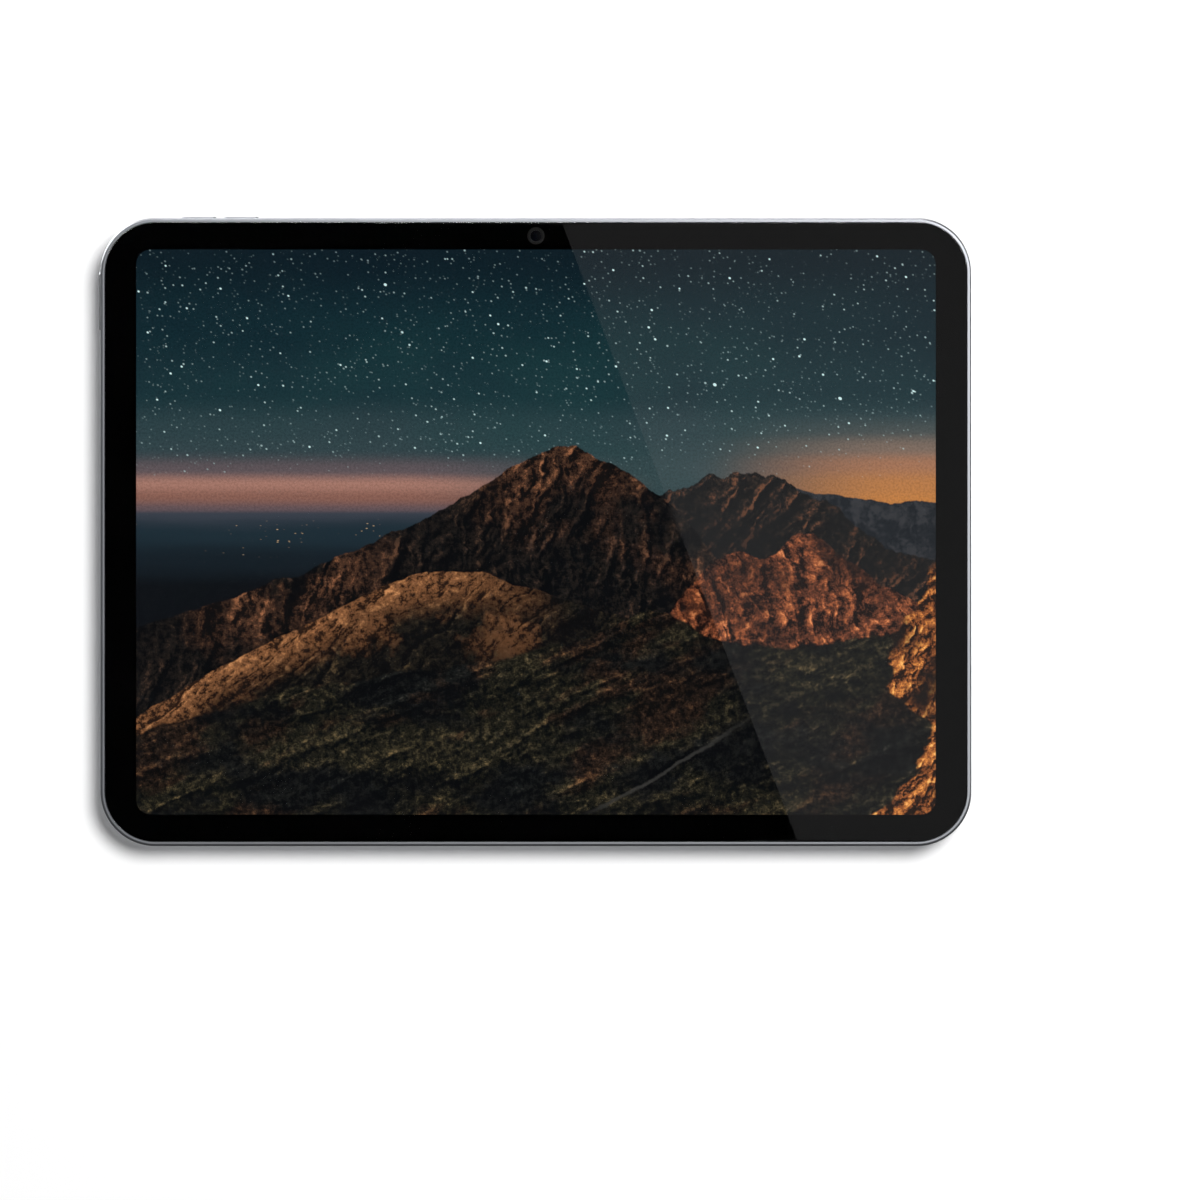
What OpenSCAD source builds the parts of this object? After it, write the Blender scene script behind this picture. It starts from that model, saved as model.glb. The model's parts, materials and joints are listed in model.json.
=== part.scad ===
// Tablet computer, upright and in landscape, as its separate pieces.
// X runs along the long side, Z up the short side, and Y through the depth.
// The origin is the middle of the flat back face; the screen faces -Y.
// A depth is measured from the back face towards the screen, so y = -depth.

/* [Case] */
// Width across the long side
body_w = 247.6; // [246.6:0.1:248.6]
// Height across the short side
body_h = 178.5; // [177.9:0.1:179.5]
// Depth of the case, without the glass that stands proud of it
case_t = 6.0; // [6:0.05:6.2]
// Plan radius of the four corners
corner_r = 15.6; // [15:0.1:17]
// Thickness of the side walls
wall_t = 2.0; // [1.9:0.05:2]
// Thickness of the back wall
floor_t = 0.8; // [0.7:0.05:0.8]
// Radius of the edge between the sides and the back
back_edge_r = 0.9; // [0.5:0.1:1.2]
// Bevel on the metal rim beside the glass
rim_bevel = 0.25; // [0.1:0.05:0.4]

/* [Screen] */
// Width of metal rim that shows round the glass
rim_w = 1.2; // [1:0.05:1.3]
// Thickness of the cover glass
glass_t = 0.65; // [0.5:0.05:0.7]
// Width of the lit area
screen_w = 227.3; // [225:0.1:227.5]
// Height of the lit area
screen_h = 160.7; // [158:0.1:160.9]
// Corner radius of the lit area
screen_r = 4.2; // [3:0.1:6]

/* [Buttons] */
// Width of every edge button, across the depth
button_w = 2.6; // [2.2:0.1:2.8]
// How far the buttons stand out of the edge
button_proud = 0.4; // [0.3:0.05:0.5]
// How far a button travels when pressed
button_travel = 0.25; // [0.15:0.05:0.25]
// Length of the top button, which is on the left short edge
top_button_l = 16.8; // [14:0.1:17]
// Height of the top button's middle above the body's middle
top_button_z = 65.8; // [64:0.1:66]
// Length of each volume button, on the upper long edge
volume_l = 10; // [8:0.1:10.2]
// Distance between the middles of the volume buttons
volume_pitch = 12.05; // [11.4:0.05:13]
// Distance of the middle between them from the body's middle
volume_x = -89.9; // [-91:0.1:-88]

/* [Cameras] */
// Distance of the rear camera's axis from the two nearest edges
rear_camera_inset = 12.8; // [12.8:0.1:13.2]
// Radius of the rear camera's ring
rear_ring_r = 7.8; // [7.2:0.1:8]
// How far the ring stands out of the back
rear_ring_proud = 1.0; // [0.6:0.1:1.4]
// Distance of the front camera's axis from the upper edge
front_camera_inset = 5.05; // [5:0.05:5.1]
// Radius of the clear window over the front camera
front_window_r = 2.5; // [2.3:0.1:2.6]

/* [Port and speakers] */
// Width of the port's socket
port_w = 8.34; // [8.3:0.02:8.4]
// Height of the port's socket
port_h = 2.56; // [2.5:0.02:2.6]
// Radius of one speaker hole
speaker_hole_r = 0.6; // [0.4:0.05:0.8]
// Speaker holes in each of the four groups
speaker_holes = 8; // [4:1:8]
// Spacing of the speaker holes
speaker_pitch = 2.4; // [2.2:0.05:2.5]
// Distance of each group's middle from the body's middle
speaker_z = 43; // [42:0.5:44]

/* [Hidden] */
$fn = 64;

// Inside of the case
half_w = body_w / 2;
half_h = body_h / 2;
inner_x = half_w - wall_t;
inner_z = half_h - wall_t;
inner_r = corner_r - wall_t;
mid_d = 3.05;          // depth of the middle of everything in the side walls
slip = 0.05;           // gap round a piece that sits in a hole of the case

// Depths of the layers behind the glass
gasket_t = 0.1;
mask_t = 0.05;
glass_proud = 0.1;
glass_d = case_t + glass_proud - glass_t;
mask_d = glass_d - mask_t;
ledge_d = mask_d - gasket_t;
glass_gap = 0.06;
panel_t = 0.8;
panel_d = mask_d - panel_t;
films_t = 0.2;
films_d = panel_d - films_t;
guide_t = 0.45;
guide_d = films_d - guide_t;
reflector_t = 0.05;
reflector_d = guide_d - reflector_t;
tray_t = 0.15;
tray_d = reflector_d - tray_t;
tray_wall = 0.2;
graphite_t = 0.05;

// Plan sizes of the display stack
panel_w = screen_w + 1.6;
panel_h = screen_h + 1.6;
tray_w = panel_w + 0.3 + 2 * tray_wall;
tray_h = panel_h + 0.2 + 2 * tray_wall;
led_h = 0.9;
guide_gap = 0.3;

// Battery, boards and flexes
cell_d = floor_t + 0.1;
cell_t = 2.4;
cell_x = [-96, 98];
cell_z = [17, 79.5];
board_d = 1.3;
board_t = 0.8;
board_front = board_d + board_t;
board_x = [-96, 70];
board_half_h = 14;
shield_t = 0.15;
shield_h = 1.2;
flex_d = 3.40;
flex_t = 0.12;
connector_h = flex_d - board_front;
screw_r = 0.6;
board_screws = [[-93.5, 0], [-43, 10], [-43, -10], [44, 10], [44, -10]];

// Edge buttons
button_r = 0.3;
flange_gap = 0.15;
flange_t = 0.45;
flange_lip = 0.5;
nub_h = 0.4;
dome_gap = 0.05;
dome_h = 0.45;
plate_t = 0.4;
// Distances inwards from the inner face of the wall
nub_end = flange_gap + flange_t + nub_h;
dome_start = nub_end + button_travel + dome_gap;
plate_start = dome_start + dome_h;
volume_centres = [volume_x - volume_pitch / 2, volume_x + volume_pitch / 2];

// Cameras
rear_camera = [-half_w + rear_camera_inset, half_h - rear_camera_inset];
front_camera_z = half_h - front_camera_inset;
front_lens_r = 1.55;
front_barrel_r = 2.2;
rear_seat_r = 5.4;     // opening of the ring behind its window
rear_bore_r = 6.3;     // bore that holds the window
rear_window_r = 6.25;
rear_window_t = 0.5;
rear_barrel_r = 3.8;
rear_lens_r = 2.6;
rear_mic = [rear_camera[0] + 11.8, rear_camera[1]];
edge_mic_x = -60;

// Port, dock contacts and charging window
port_shell_t = 0.3;
port_depth = 6.7;
dock_x = half_w - 12.8;
dock_pitch = 4.3;
dock_r = 1.5;
window_x = 34;
window_l = 24;
window_w = 3;
bracket_half = 8;
bracket_low = mid_d + port_h / 2 + port_shell_t + 0.03;
bracket_top = bracket_low + 0.2;
tongue_w = 6.69;
tongue_t = 0.7;

// ---- Outlines ----

module round_rect(w, h, r) {
    square([w - 2 * r, h], center = true);
    square([w, h - 2 * r], center = true);
    for (x = [-1, 1], z = [-1, 1])
        translate([x * (w / 2 - r), z * (h / 2 - r)]) circle(r);
}

// A slot with round ends, along the first axis
module slot(l, w) {
    square([l - w, w], center = true);
    for (x = [-1, 1]) translate([x * (l - w) / 2, 0]) circle(w / 2);
}

// A rectangle between two corners
module between(a, b) translate(a) square([b[0] - a[0], b[1] - a[1]]);

// ---- Directions of extrusion ----

// An outline in X and Z, from depth d towards the screen
module layer(d, t) rotate([90, 0, 0]) translate([0, 0, d]) linear_extrude(t) children();

// An outline in Y and Z, from x towards +X
module along_x(x, l) translate([x, 0, 0]) rotate([90, 0, 90]) linear_extrude(l) children();

// An outline in X and Y, from z upwards
module along_z(z, l) translate([0, 0, z]) linear_extrude(l) children();

// A shape turned round an axis along Y through [x, z]; its profile is in radius and depth
module turned(p) translate([p[0], 0, p[1]]) rotate([90, 0, 0]) rotate_extrude() children();

// ---- Slab with a shaped edge ----

// rim lists [inset, depth] down the edge, from the back to the front
module edged_slab(w, h, r, rim) {
    n = len(rim) - 1;
    front = rim[n][1];
    upper = [for (p = rim) [h / 2 - p[0], p[1]]];
    lower = [for (i = [n:-1:0]) [-h / 2 + rim[i][0], rim[i][1]]];
    side = [for (p = rim) [w / 2 - p[0], p[1]]];
    corner = [for (p = rim) [r - p[0], p[1]]];
    rotate([90, 0, 0]) {
        rotate([90, 0, 90]) linear_extrude(w - 2 * r, center = true)
            polygon(concat(upper, lower));
        for (m = [0, 1]) mirror([m, 0, 0]) {
            rotate([90, 0, 0]) linear_extrude(h - 2 * r, center = true)
                polygon(concat([[w / 2 - r, rim[0][1]]], side, [[w / 2 - r, front]]));
            for (k = [0, 1]) mirror([0, k, 0])
                translate([w / 2 - r, h / 2 - r, 0]) rotate_extrude(angle = 90)
                    polygon(concat([[0, rim[0][1]]], corner, [[0, front]]));
        }
    }
}

// ---- Case ----

case_rim = concat(
    [for (a = [0:22.5:90]) [back_edge_r * (1 - sin(a)), back_edge_r * (1 - cos(a))]],
    [[0, case_t - rim_bevel], [rim_bevel, case_t]]);

module speaker_hole_row(side) {
    for (g = [-1, 1], i = [0 : speaker_holes - 1])
        translate([side > 0 ? inner_x - 1 : -half_w - 1, -mid_d,
            g * speaker_z + (i - (speaker_holes - 1) / 2) * speaker_pitch])
            rotate([0, 90, 0]) cylinder(h = wall_t + 2, r = speaker_hole_r);
}

module back_openings() {
    layer(-1, floor_t + 2) {
        translate(rear_camera) circle(rear_ring_r + slip);
        translate(rear_mic) circle(0.5);
        for (i = [-1, 0, 1]) translate([dock_x, i * dock_pitch]) circle(dock_r + 0.3);
    }
}

module side_openings() {
    speaker_hole_row(-1);
    speaker_hole_row(1);
    along_x(inner_x - 1, wall_t + 2) translate([-mid_d, 0]) rotate(90)
        slot(port_w + 0.2, port_h + 0.2);
    along_x(-half_w - 1, wall_t + 2) translate([-mid_d, top_button_z]) rotate(90)
        slot(top_button_l + 0.2, button_w + 0.2);
}

module upper_openings() {
    along_z(inner_z - 1, wall_t + 2) {
        for (x = volume_centres) translate([x, -mid_d]) slot(volume_l + 0.2, button_w + 0.2);
        translate([window_x, -mid_d]) slot(window_l, window_w);
        translate([edge_mic_x, -mid_d]) circle(0.45);
    }
}

module standoffs() {
    layer(floor_t - 0.1, board_d - floor_t + 0.1)
        for (p = board_screws) translate(p) circle(1.6);
}

module rear_case() {
    color([0.45, 0.46, 0.48]) difference() {
        union() {
            difference() {
                edged_slab(body_w, body_h, corner_r, case_rim);
                layer(floor_t, case_t)
                    round_rect(2 * inner_x, 2 * inner_z, inner_r);
                layer(ledge_d, case_t)
                    round_rect(body_w - 2 * rim_w, body_h - 2 * rim_w, corner_r - rim_w);
            }
            standoffs();
        }
        back_openings();
        side_openings();
        upper_openings();
        layer(0.5, board_d) for (p = board_screws) translate(p) circle(screw_r + 0.05);
    }
}

// ---- Display stack ----

module cover_glass() {
    w = body_w - 2 * (rim_w + glass_gap);
    h = body_h - 2 * (rim_w + glass_gap);
    front = glass_d + glass_t;
    color([0.75, 0.8, 0.82, 0.3]) edged_slab(w, h, corner_r - rim_w - glass_gap,
        [[0, glass_d], [0, front - 0.2], [0.08, front - 0.07], [0.25, front]]);
}

module bezel_mask() {
    color([0.02, 0.02, 0.02]) layer(mask_d, mask_t) difference() {
        round_rect(body_w - 2 * rim_w - 0.4, body_h - 2 * rim_w - 0.4, corner_r - rim_w - 0.2);
        round_rect(screen_w, screen_h, screen_r);
        translate([0, front_camera_z]) circle(front_window_r);
    }
}

module optical_adhesive() {
    color([0.9, 0.92, 0.95, 0.3]) layer(mask_d, mask_t)
        round_rect(screen_w - 0.1, screen_h - 0.1, screen_r - 0.05);
}

module display_gasket() {
    color([0.1, 0.1, 0.1]) layer(ledge_d, gasket_t) difference() {
        round_rect(body_w - 2 * rim_w - 0.4, body_h - 2 * rim_w - 0.4, corner_r - rim_w - 0.2);
        round_rect(2 * inner_x - 1.3, 2 * inner_z - 1.3, inner_r - 0.65);
    }
}

module display_panel() {
    color([0.05, 0.09, 0.12]) layer(panel_d, panel_t) round_rect(panel_w, panel_h, screen_r + 0.8);
}

module diffuser_films() {
    color([0.95, 0.95, 0.95]) layer(films_d, films_t)
        round_rect(panel_w - 0.2, panel_h - 0.2, screen_r + 0.6);
}

module light_guide() {
    low = -panel_h / 2 + led_h + guide_gap;
    color([0.85, 0.93, 0.95]) layer(guide_d, guide_t)
        between([-panel_w / 2 + 2, low], [panel_w / 2 - 2, panel_h / 2 - 2]);
}

module led_strip() {
    low = -panel_h / 2 + 0.1;
    color([0.98, 0.95, 0.6]) layer(guide_d, guide_t)
        between([-panel_w / 2 + 6, low], [panel_w / 2 - 6, low + led_h]);
}

module reflector_sheet() {
    color([0.96, 0.96, 0.96]) layer(reflector_d, reflector_t)
        round_rect(panel_w - 0.2, panel_h - 0.2, screen_r + 0.6);
}

module backlight_tray() {
    color([0.7, 0.71, 0.72]) {
        layer(tray_d, tray_t) round_rect(tray_w, tray_h, screen_r + 1.2);
        layer(tray_d, 1.2) difference() {
            round_rect(tray_w, tray_h, screen_r + 1.2);
            round_rect(tray_w - 2 * tray_wall, tray_h - 2 * tray_wall, screen_r + 1);
        }
    }
}

module graphite_sheet() {
    color([0.2, 0.2, 0.21]) layer(tray_d - graphite_t, graphite_t)
        round_rect(tray_w - 8, tray_h - 8, 3);
}

// A ribbon that leaves the lower edge of the panel, folds round the tray and runs to z_end
module folded_flex(x, w, z_end) {
    fold_z = -tray_h / 2 - 0.1;
    along_x(x - w / 2, w) {
        between([-(mask_d - 0.1), fold_z - flex_t], [-flex_d, fold_z]);
        between([-(flex_d + flex_t), fold_z - flex_t], [-flex_d, z_end]);
    }
}

module display_flex() color([0.75, 0.45, 0.1]) folded_flex(65, 8, -6);

module touch_flex() color([0.7, 0.42, 0.1]) folded_flex(52, 6, -6);

// ---- Front camera and sensor ----

module front_camera_housing() {
    color([0.12, 0.12, 0.13]) {
        layer(3.0, 2.0) translate([0, front_camera_z]) round_rect(5.1, 5.1, 0.6);
        layer(4.9, mask_d - 4.95) translate([0, front_camera_z]) difference() {
            circle(front_barrel_r);
            circle(front_lens_r + slip);
        }
    }
}

module front_camera_lens() {
    color([0.1, 0.12, 0.2]) layer(5.05, mask_d - 5.15)
        translate([0, front_camera_z]) circle(front_lens_r);
}

module front_camera_flex() {
    color([0.7, 0.42, 0.1]) layer(flex_d, flex_t)
        between([-2, 8], [2, front_camera_z - 2.6]);
}

module light_sensor() {
    color([0.2, 0.25, 0.2]) layer(mask_d - 1.0, 0.9)
        translate([-8, front_camera_z]) round_rect(2.4, 1.8, 0.2);
}

// ---- Rear camera ----

module rear_camera_ring() {
    out = rear_ring_proud;
    color([0.5, 0.51, 0.53]) turned(rear_camera) polygon([
        [rear_seat_r, floor_t], [rear_seat_r, -out + 0.7],
        [rear_bore_r, -out + 0.7], [rear_bore_r, -out],
        [rear_ring_r - 0.35, -out], [rear_ring_r, -out + 0.35], [rear_ring_r, floor_t]]);
}

module rear_camera_window() {
    color([0.05, 0.05, 0.06]) turned(rear_camera)
        between([0, -rear_ring_proud + 0.15],
            [rear_window_r, -rear_ring_proud + 0.15 + rear_window_t]);
}

module rear_camera_lens() {
    color([0.12, 0.14, 0.25]) turned(rear_camera)
        between([0, -rear_ring_proud + 0.9], [rear_lens_r, -rear_ring_proud + 1.1]);
}

module rear_camera_module() {
    color([0.1, 0.1, 0.11]) {
        layer(floor_t + 0.05, 2.6) translate(rear_camera) round_rect(12, 12, 1);
        turned(rear_camera) {
            between([0, -rear_ring_proud + 1.15], [rear_barrel_r, floor_t + 0.1]);
            between([rear_lens_r + slip, -rear_ring_proud + 0.75],
                [rear_barrel_r, floor_t + 0.1]);
        }
    }
}

// ---- Battery ----

module battery_cell(side) {
    w = cell_x[1] - cell_x[0];
    h = cell_z[1] - cell_z[0];
    layer(cell_d, cell_t)
        translate([(cell_x[0] + cell_x[1]) / 2, side * (cell_z[0] + cell_z[1]) / 2])
        round_rect(w, h, 2);
}

module battery_cell_upper() color([0.12, 0.12, 0.13]) battery_cell(1);

module battery_cell_lower() color([0.12, 0.12, 0.13]) battery_cell(-1);

module battery_adhesive() {
    color([0.85, 0.85, 0.8]) layer(floor_t, cell_d - floor_t)
        for (side = [-1, 1], i = [-1, 0, 1])
            translate([i * 62 + 1, side * (cell_z[0] + cell_z[1]) / 2]) round_rect(44, 50, 2);
}

module battery_board() {
    color([0.05, 0.25, 0.12]) layer(board_d, board_t) translate([86, 0]) round_rect(20, 30, 1);
}

// ---- Logic board ----

module logic_board() {
    w = board_x[1] - board_x[0];
    color([0.04, 0.22, 0.12]) layer(board_d, board_t) difference() {
        translate([(board_x[0] + board_x[1]) / 2, 0]) round_rect(w, 2 * board_half_h, 1);
        for (p = board_screws) translate(p) circle(screw_r + 0.15);
    }
}

module processor() {
    color([0.15, 0.15, 0.16]) layer(board_front, 0.9) translate([-22, 0]) round_rect(15, 15, 0.3);
}

module storage_chips() {
    color([0.08, 0.08, 0.09]) layer(board_front, 0.8)
        for (x = [-78, -60]) translate([x, 0]) round_rect(12, 14, 0.3);
}

// A thin metal can over x0 to x1, open towards the board
module shield(x0, x1) {
    z = 12;
    color([0.75, 0.76, 0.78]) difference() {
        layer(board_front, shield_h) translate([(x0 + x1) / 2, 0]) round_rect(x1 - x0, 2 * z, 0.8);
        layer(board_front - 0.1, shield_h - shield_t + 0.1)
            between([x0 + shield_t, -z + shield_t], [x1 - shield_t, z - shield_t]);
    }
}

module processor_shield() shield(-40, -5);

module power_shield() shield(6, 41);

module wireless_shield() shield(-90, -46);

module flex_connectors() {
    color([0.1, 0.1, 0.1]) layer(board_front, connector_h) {
        translate([65, -8]) square([7, 3], center = true);
        translate([52, -8]) square([5, 3], center = true);
        translate([0, 10]) square([3.6, 3], center = true);
        translate([52, 5]) square([3, 5], center = true);
        for (x = [-90, -82]) translate([x, 13.1]) square([3.6, 1.5], center = true);
    }
}

module connector_cowling() {
    color([0.72, 0.73, 0.75]) layer(flex_d + flex_t, 0.1)
        translate([59, -8]) round_rect(24, 8, 0.8);
}

// ---- Screws ----

// A cross-headed screw: its head sits on depth d and its shank goes back to depth tip
module screw(p, d, tip, head_h) {
    turned(p) difference() {
        union() {
            between([0, d], [1.15, d + head_h]);
            between([0, tip], [screw_r - 0.02, d]);
        }
        between([-1, d + head_h - 0.15], [0.35, d + head_h + 1]);
    }
}

module screws() {
    color([0.6, 0.6, 0.62]) {
        for (p = board_screws) screw(p, board_front, 0.6, 0.35);
        for (s = [-1, 1])
            screw([half_w - 5.6, s * (bracket_half - 1.4)], bracket_top, 3.0, 0.2);
    }
}

// ---- Speakers ----

module speaker(side, level) {
    long_x = 17;
    z0 = level * speaker_z;
    front_x = side * (inner_x - 0.35);
    back_x = side * (inner_x - long_x);
    chamber_x = side * (inner_x - 6);
    lo = min(front_x, back_x);
    cl = min(front_x, chamber_x);
    color([0.14, 0.14, 0.15]) {
        layer(floor_t + 0.1, 2.5) between([lo, z0 - 11.5], [lo + abs(front_x - back_x), z0 + 11.5]);
        layer(floor_t + 0.1, 4.2)
            between([cl, z0 - 10.5], [cl + abs(front_x - chamber_x), z0 + 10.5]);
    }
}

module speaker_upper_left() speaker(-1, 1);

module speaker_lower_left() speaker(-1, -1);

module speaker_upper_right() speaker(1, 1);

module speaker_lower_right() speaker(1, -1);

module speaker_meshes() {
    l = speaker_holes * speaker_pitch;
    color([0.2, 0.2, 0.2]) for (side = [-1, 1], level = [-1, 1])
        along_x(side > 0 ? inner_x - 0.3 : -inner_x + 0.05, 0.25)
            translate([-mid_d, level * speaker_z]) rotate(90) slot(l, 2.6);
}

// ---- Port ----

module port_shell() {
    x0 = inner_x - port_depth;
    color([0.7, 0.71, 0.73]) difference() {
        along_x(x0, port_depth - slip) translate([-mid_d, 0]) rotate(90)
            slot(port_w + 2 * port_shell_t, port_h + 2 * port_shell_t);
        along_x(x0 + 0.4, port_depth) translate([-mid_d, 0]) rotate(90) slot(port_w, port_h);
    }
}

module port_tongue() {
    color([0.08, 0.08, 0.08]) {
        along_x(inner_x - port_depth + 0.4, 0.8) translate([-mid_d, 0])
            square([1.9, 7.2], center = true);
        along_x(inner_x - port_depth + 0.5, 5.4) translate([-mid_d, 0])
            square([tongue_t, tongue_w], center = true);
    }
}

module port_bracket() {
    x = half_w - 5.6;
    hole = [x, bracket_half - 1.4];
    color([0.68, 0.69, 0.7]) difference() {
        union() {
            layer(bracket_low, bracket_top - bracket_low)
                translate([x, 0]) square([3, 2 * bracket_half], center = true);
            for (s = [-1, 1]) layer(floor_t, bracket_low - floor_t)
                translate([x, s * (bracket_half - 1.4)]) square([3, 2.8], center = true);
        }
        for (s = [-1, 1]) layer(2.5, 5) translate([hole[0], s * hole[1]]) circle(screw_r + 0.05);
    }
}

module port_flex() {
    color([0.7, 0.42, 0.1]) layer(flex_d, flex_t)
        between([50, 2], [inner_x - port_depth - 0.02, 8]);
}

// ---- Dock contacts ----

module dock_contacts() {
    color([0.78, 0.76, 0.7]) layer(0.04, 1.4)
        for (i = [-1, 0, 1]) translate([dock_x, i * dock_pitch]) circle(dock_r);
}

module dock_insulator() {
    color([0.3, 0.3, 0.31]) difference() {
        union() {
            layer(floor_t, 0.5) translate([dock_x, 0]) rotate(90) slot(2 * dock_pitch + 5.2, 5.2);
            layer(0.04, floor_t) for (i = [-1, 0, 1])
                translate([dock_x, i * dock_pitch]) circle(dock_r + 0.27);
        }
        layer(-1, 3) for (i = [-1, 0, 1])
            translate([dock_x, i * dock_pitch]) circle(dock_r + 0.03);
    }
}

// ---- Buttons ----

// A button whose outer face is at height 0 of its own axis; it reaches inwards
module button_body(l) {
    reach = button_proud + wall_t + flange_gap;
    translate([0, 0, -button_r]) linear_extrude(button_r) slot(l - 0.3, button_w - 0.3);
    translate([0, 0, -reach]) linear_extrude(reach - button_r + 0.1) slot(l, button_w);
    translate([0, 0, -reach - flange_t]) linear_extrude(flange_t + 0.01)
        slot(l + 2 * flange_lip, button_w + 2 * flange_lip);
    translate([0, 0, -reach - flange_t - nub_h]) cylinder(h = nub_h + 0.1, r = 0.8);
}

module on_left_edge(z) translate([-half_w - button_proud, -mid_d, z])
    rotate([0, -90, 0]) children();

module on_upper_edge(x) translate([x, -mid_d, half_h + button_proud]) children();

module top_button() {
    color([0.47, 0.48, 0.5]) difference() {
        on_left_edge(top_button_z) button_body(top_button_l);
        on_left_edge(top_button_z) translate([0, 0, -0.35]) linear_extrude(1)
            slot(top_button_l - 1.2, button_w - 0.7);
    }
}

module fingerprint_window() {
    color([0.05, 0.05, 0.06]) on_left_edge(top_button_z) translate([0, 0, -0.34])
        linear_extrude(0.3) slot(top_button_l - 1.26, button_w - 0.76);
}

module volume_up_button() color([0.47, 0.48, 0.5])
    on_upper_edge(volume_centres[0]) button_body(volume_l);

module volume_down_button() color([0.47, 0.48, 0.5])
    on_upper_edge(volume_centres[1]) button_body(volume_l);

module top_button_bracket() {
    color([0.7, 0.71, 0.73]) along_x(-inner_x + plate_start, plate_t)
        translate([-mid_d, top_button_z]) square([3.6, 15], center = true);
}

module volume_bracket() {
    color([0.7, 0.71, 0.73]) along_z(inner_z - plate_start - plate_t, plate_t)
        translate([volume_x, -mid_d]) square([26, 3.6], center = true);
}

module button_domes() {
    color([0.75, 0.75, 0.76]) {
        translate([-inner_x + dome_start, -mid_d, top_button_z]) rotate([0, 90, 0])
            cylinder(h = dome_h, r1 = 1.1, r2 = 1.6);
        for (x = volume_centres) translate([x, -mid_d, inner_z - plate_start])
            cylinder(h = dome_h, r1 = 1.6, r2 = 1.1);
    }
}

module top_button_flex() {
    x0 = -inner_x + plate_start + plate_t;
    z0 = top_button_z - 5;
    color([0.7, 0.42, 0.1]) {
        layer(flex_d, flex_t) {
            between([x0, z0 - 2], [-88, z0 + 2]);
            between([-92, 12.4], [-88, z0]);
        }
        along_x(x0, flex_t) between([-4.8, z0 - 2], [-flex_d, z0 + 10]);
    }
}

module volume_flex() {
    z1 = inner_z - plate_start - plate_t;
    color([0.7, 0.42, 0.1]) {
        layer(flex_d, flex_t) between([-84, 12.4], [-80, z1]);
        along_z(z1 - flex_t, flex_t) between([-102, -4.8], [-80, -flex_d]);
    }
}

// ---- Small parts ----

module microphones() {
    color([0.75, 0.72, 0.6]) {
        layer(floor_t + 0.05, 1.1) translate([rear_mic[0] + 0.4, rear_mic[1]])
            round_rect(2.8, 3.6, 0.2);
        along_z(inner_z - 1.2, 1.15) translate([edge_mic_x, -mid_d])
            square([3.6, 2.8], center = true);
    }
}

module case_magnets() {
    color([0.62, 0.63, 0.66]) layer(floor_t + 0.1, 2.2) {
        for (x = [-96 : 16 : 96])
            translate([x, -inner_z + 1.9]) square([12, 3], center = true);
        for (x = [-46, -28, 62, 80, 98])
            translate([x, inner_z - 1.9]) square([12, 3], center = true);
    }
}

module charging_window() {
    color([0.4, 0.41, 0.43]) along_z(inner_z + 0.05, wall_t - 0.05)
        translate([window_x, -mid_d]) slot(window_l - 0.06, window_w - 0.06);
}

module charging_coil() {
    color([0.75, 0.4, 0.2]) along_z(inner_z - 0.9, 0.8) translate([window_x, -mid_d])
        difference() {
            slot(window_l, 3.8);
            slot(window_l - 2.6, 1.2);
        }
}

module wireless_antennas() {
    color([0.72, 0.5, 0.2]) layer(floor_t + 0.1, 0.3) for (side = [-1, 1])
        translate([side * 111, -77]) difference() {
            square([10, 10], center = true);
            translate([0, 2]) square([7, 2], center = true);
            translate([0, -2]) square([7, 2], center = true);
        }
}

// ---- Draw ----

rear_case();
cover_glass();
bezel_mask();
optical_adhesive();
display_gasket();
display_panel();
diffuser_films();
light_guide();
reflector_sheet();
led_strip();
backlight_tray();
graphite_sheet();
display_flex();
touch_flex();
front_camera_housing();
front_camera_lens();
front_camera_flex();
light_sensor();
rear_camera_ring();
rear_camera_window();
rear_camera_lens();
rear_camera_module();
battery_cell_upper();
battery_cell_lower();
battery_adhesive();
battery_board();
logic_board();
processor();
storage_chips();
processor_shield();
power_shield();
wireless_shield();
flex_connectors();
connector_cowling();
screws();
speaker_upper_left();
speaker_lower_left();
speaker_upper_right();
speaker_lower_right();
speaker_meshes();
port_shell();
port_tongue();
port_bracket();
port_flex();
dock_contacts();
dock_insulator();
top_button();
fingerprint_window();
top_button_bracket();
top_button_flex();
volume_up_button();
volume_down_button();
volume_bracket();
volume_flex();
button_domes();
microphones();
case_magnets();
charging_window();
charging_coil();
wireless_antennas();
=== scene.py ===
"""A tablet computer, upright and in landscape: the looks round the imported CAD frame.

The screen faces -Y, the back +Y, and Z is up. Lengths are metres; MM turns millimetres into them.
"""

import json
import math

import bmesh
import bpy
from mathutils import Matrix, Vector


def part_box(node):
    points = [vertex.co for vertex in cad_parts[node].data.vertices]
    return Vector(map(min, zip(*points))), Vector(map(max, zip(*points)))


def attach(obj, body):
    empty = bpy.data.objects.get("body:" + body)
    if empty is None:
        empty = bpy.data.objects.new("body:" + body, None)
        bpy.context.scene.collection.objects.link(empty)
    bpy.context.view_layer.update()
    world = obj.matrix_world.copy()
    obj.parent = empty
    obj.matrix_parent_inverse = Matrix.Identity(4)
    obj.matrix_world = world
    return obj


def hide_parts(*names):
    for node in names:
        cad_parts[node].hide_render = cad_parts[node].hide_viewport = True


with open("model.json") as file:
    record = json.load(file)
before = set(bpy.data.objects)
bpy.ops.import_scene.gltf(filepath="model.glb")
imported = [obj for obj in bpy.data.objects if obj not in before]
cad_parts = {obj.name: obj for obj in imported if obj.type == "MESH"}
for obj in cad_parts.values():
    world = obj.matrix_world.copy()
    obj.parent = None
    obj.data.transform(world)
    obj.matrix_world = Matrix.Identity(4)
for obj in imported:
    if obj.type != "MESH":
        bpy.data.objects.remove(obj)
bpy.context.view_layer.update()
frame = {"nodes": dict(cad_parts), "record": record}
MM = 0.001

# ---- Places, read from the frame ----

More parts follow.
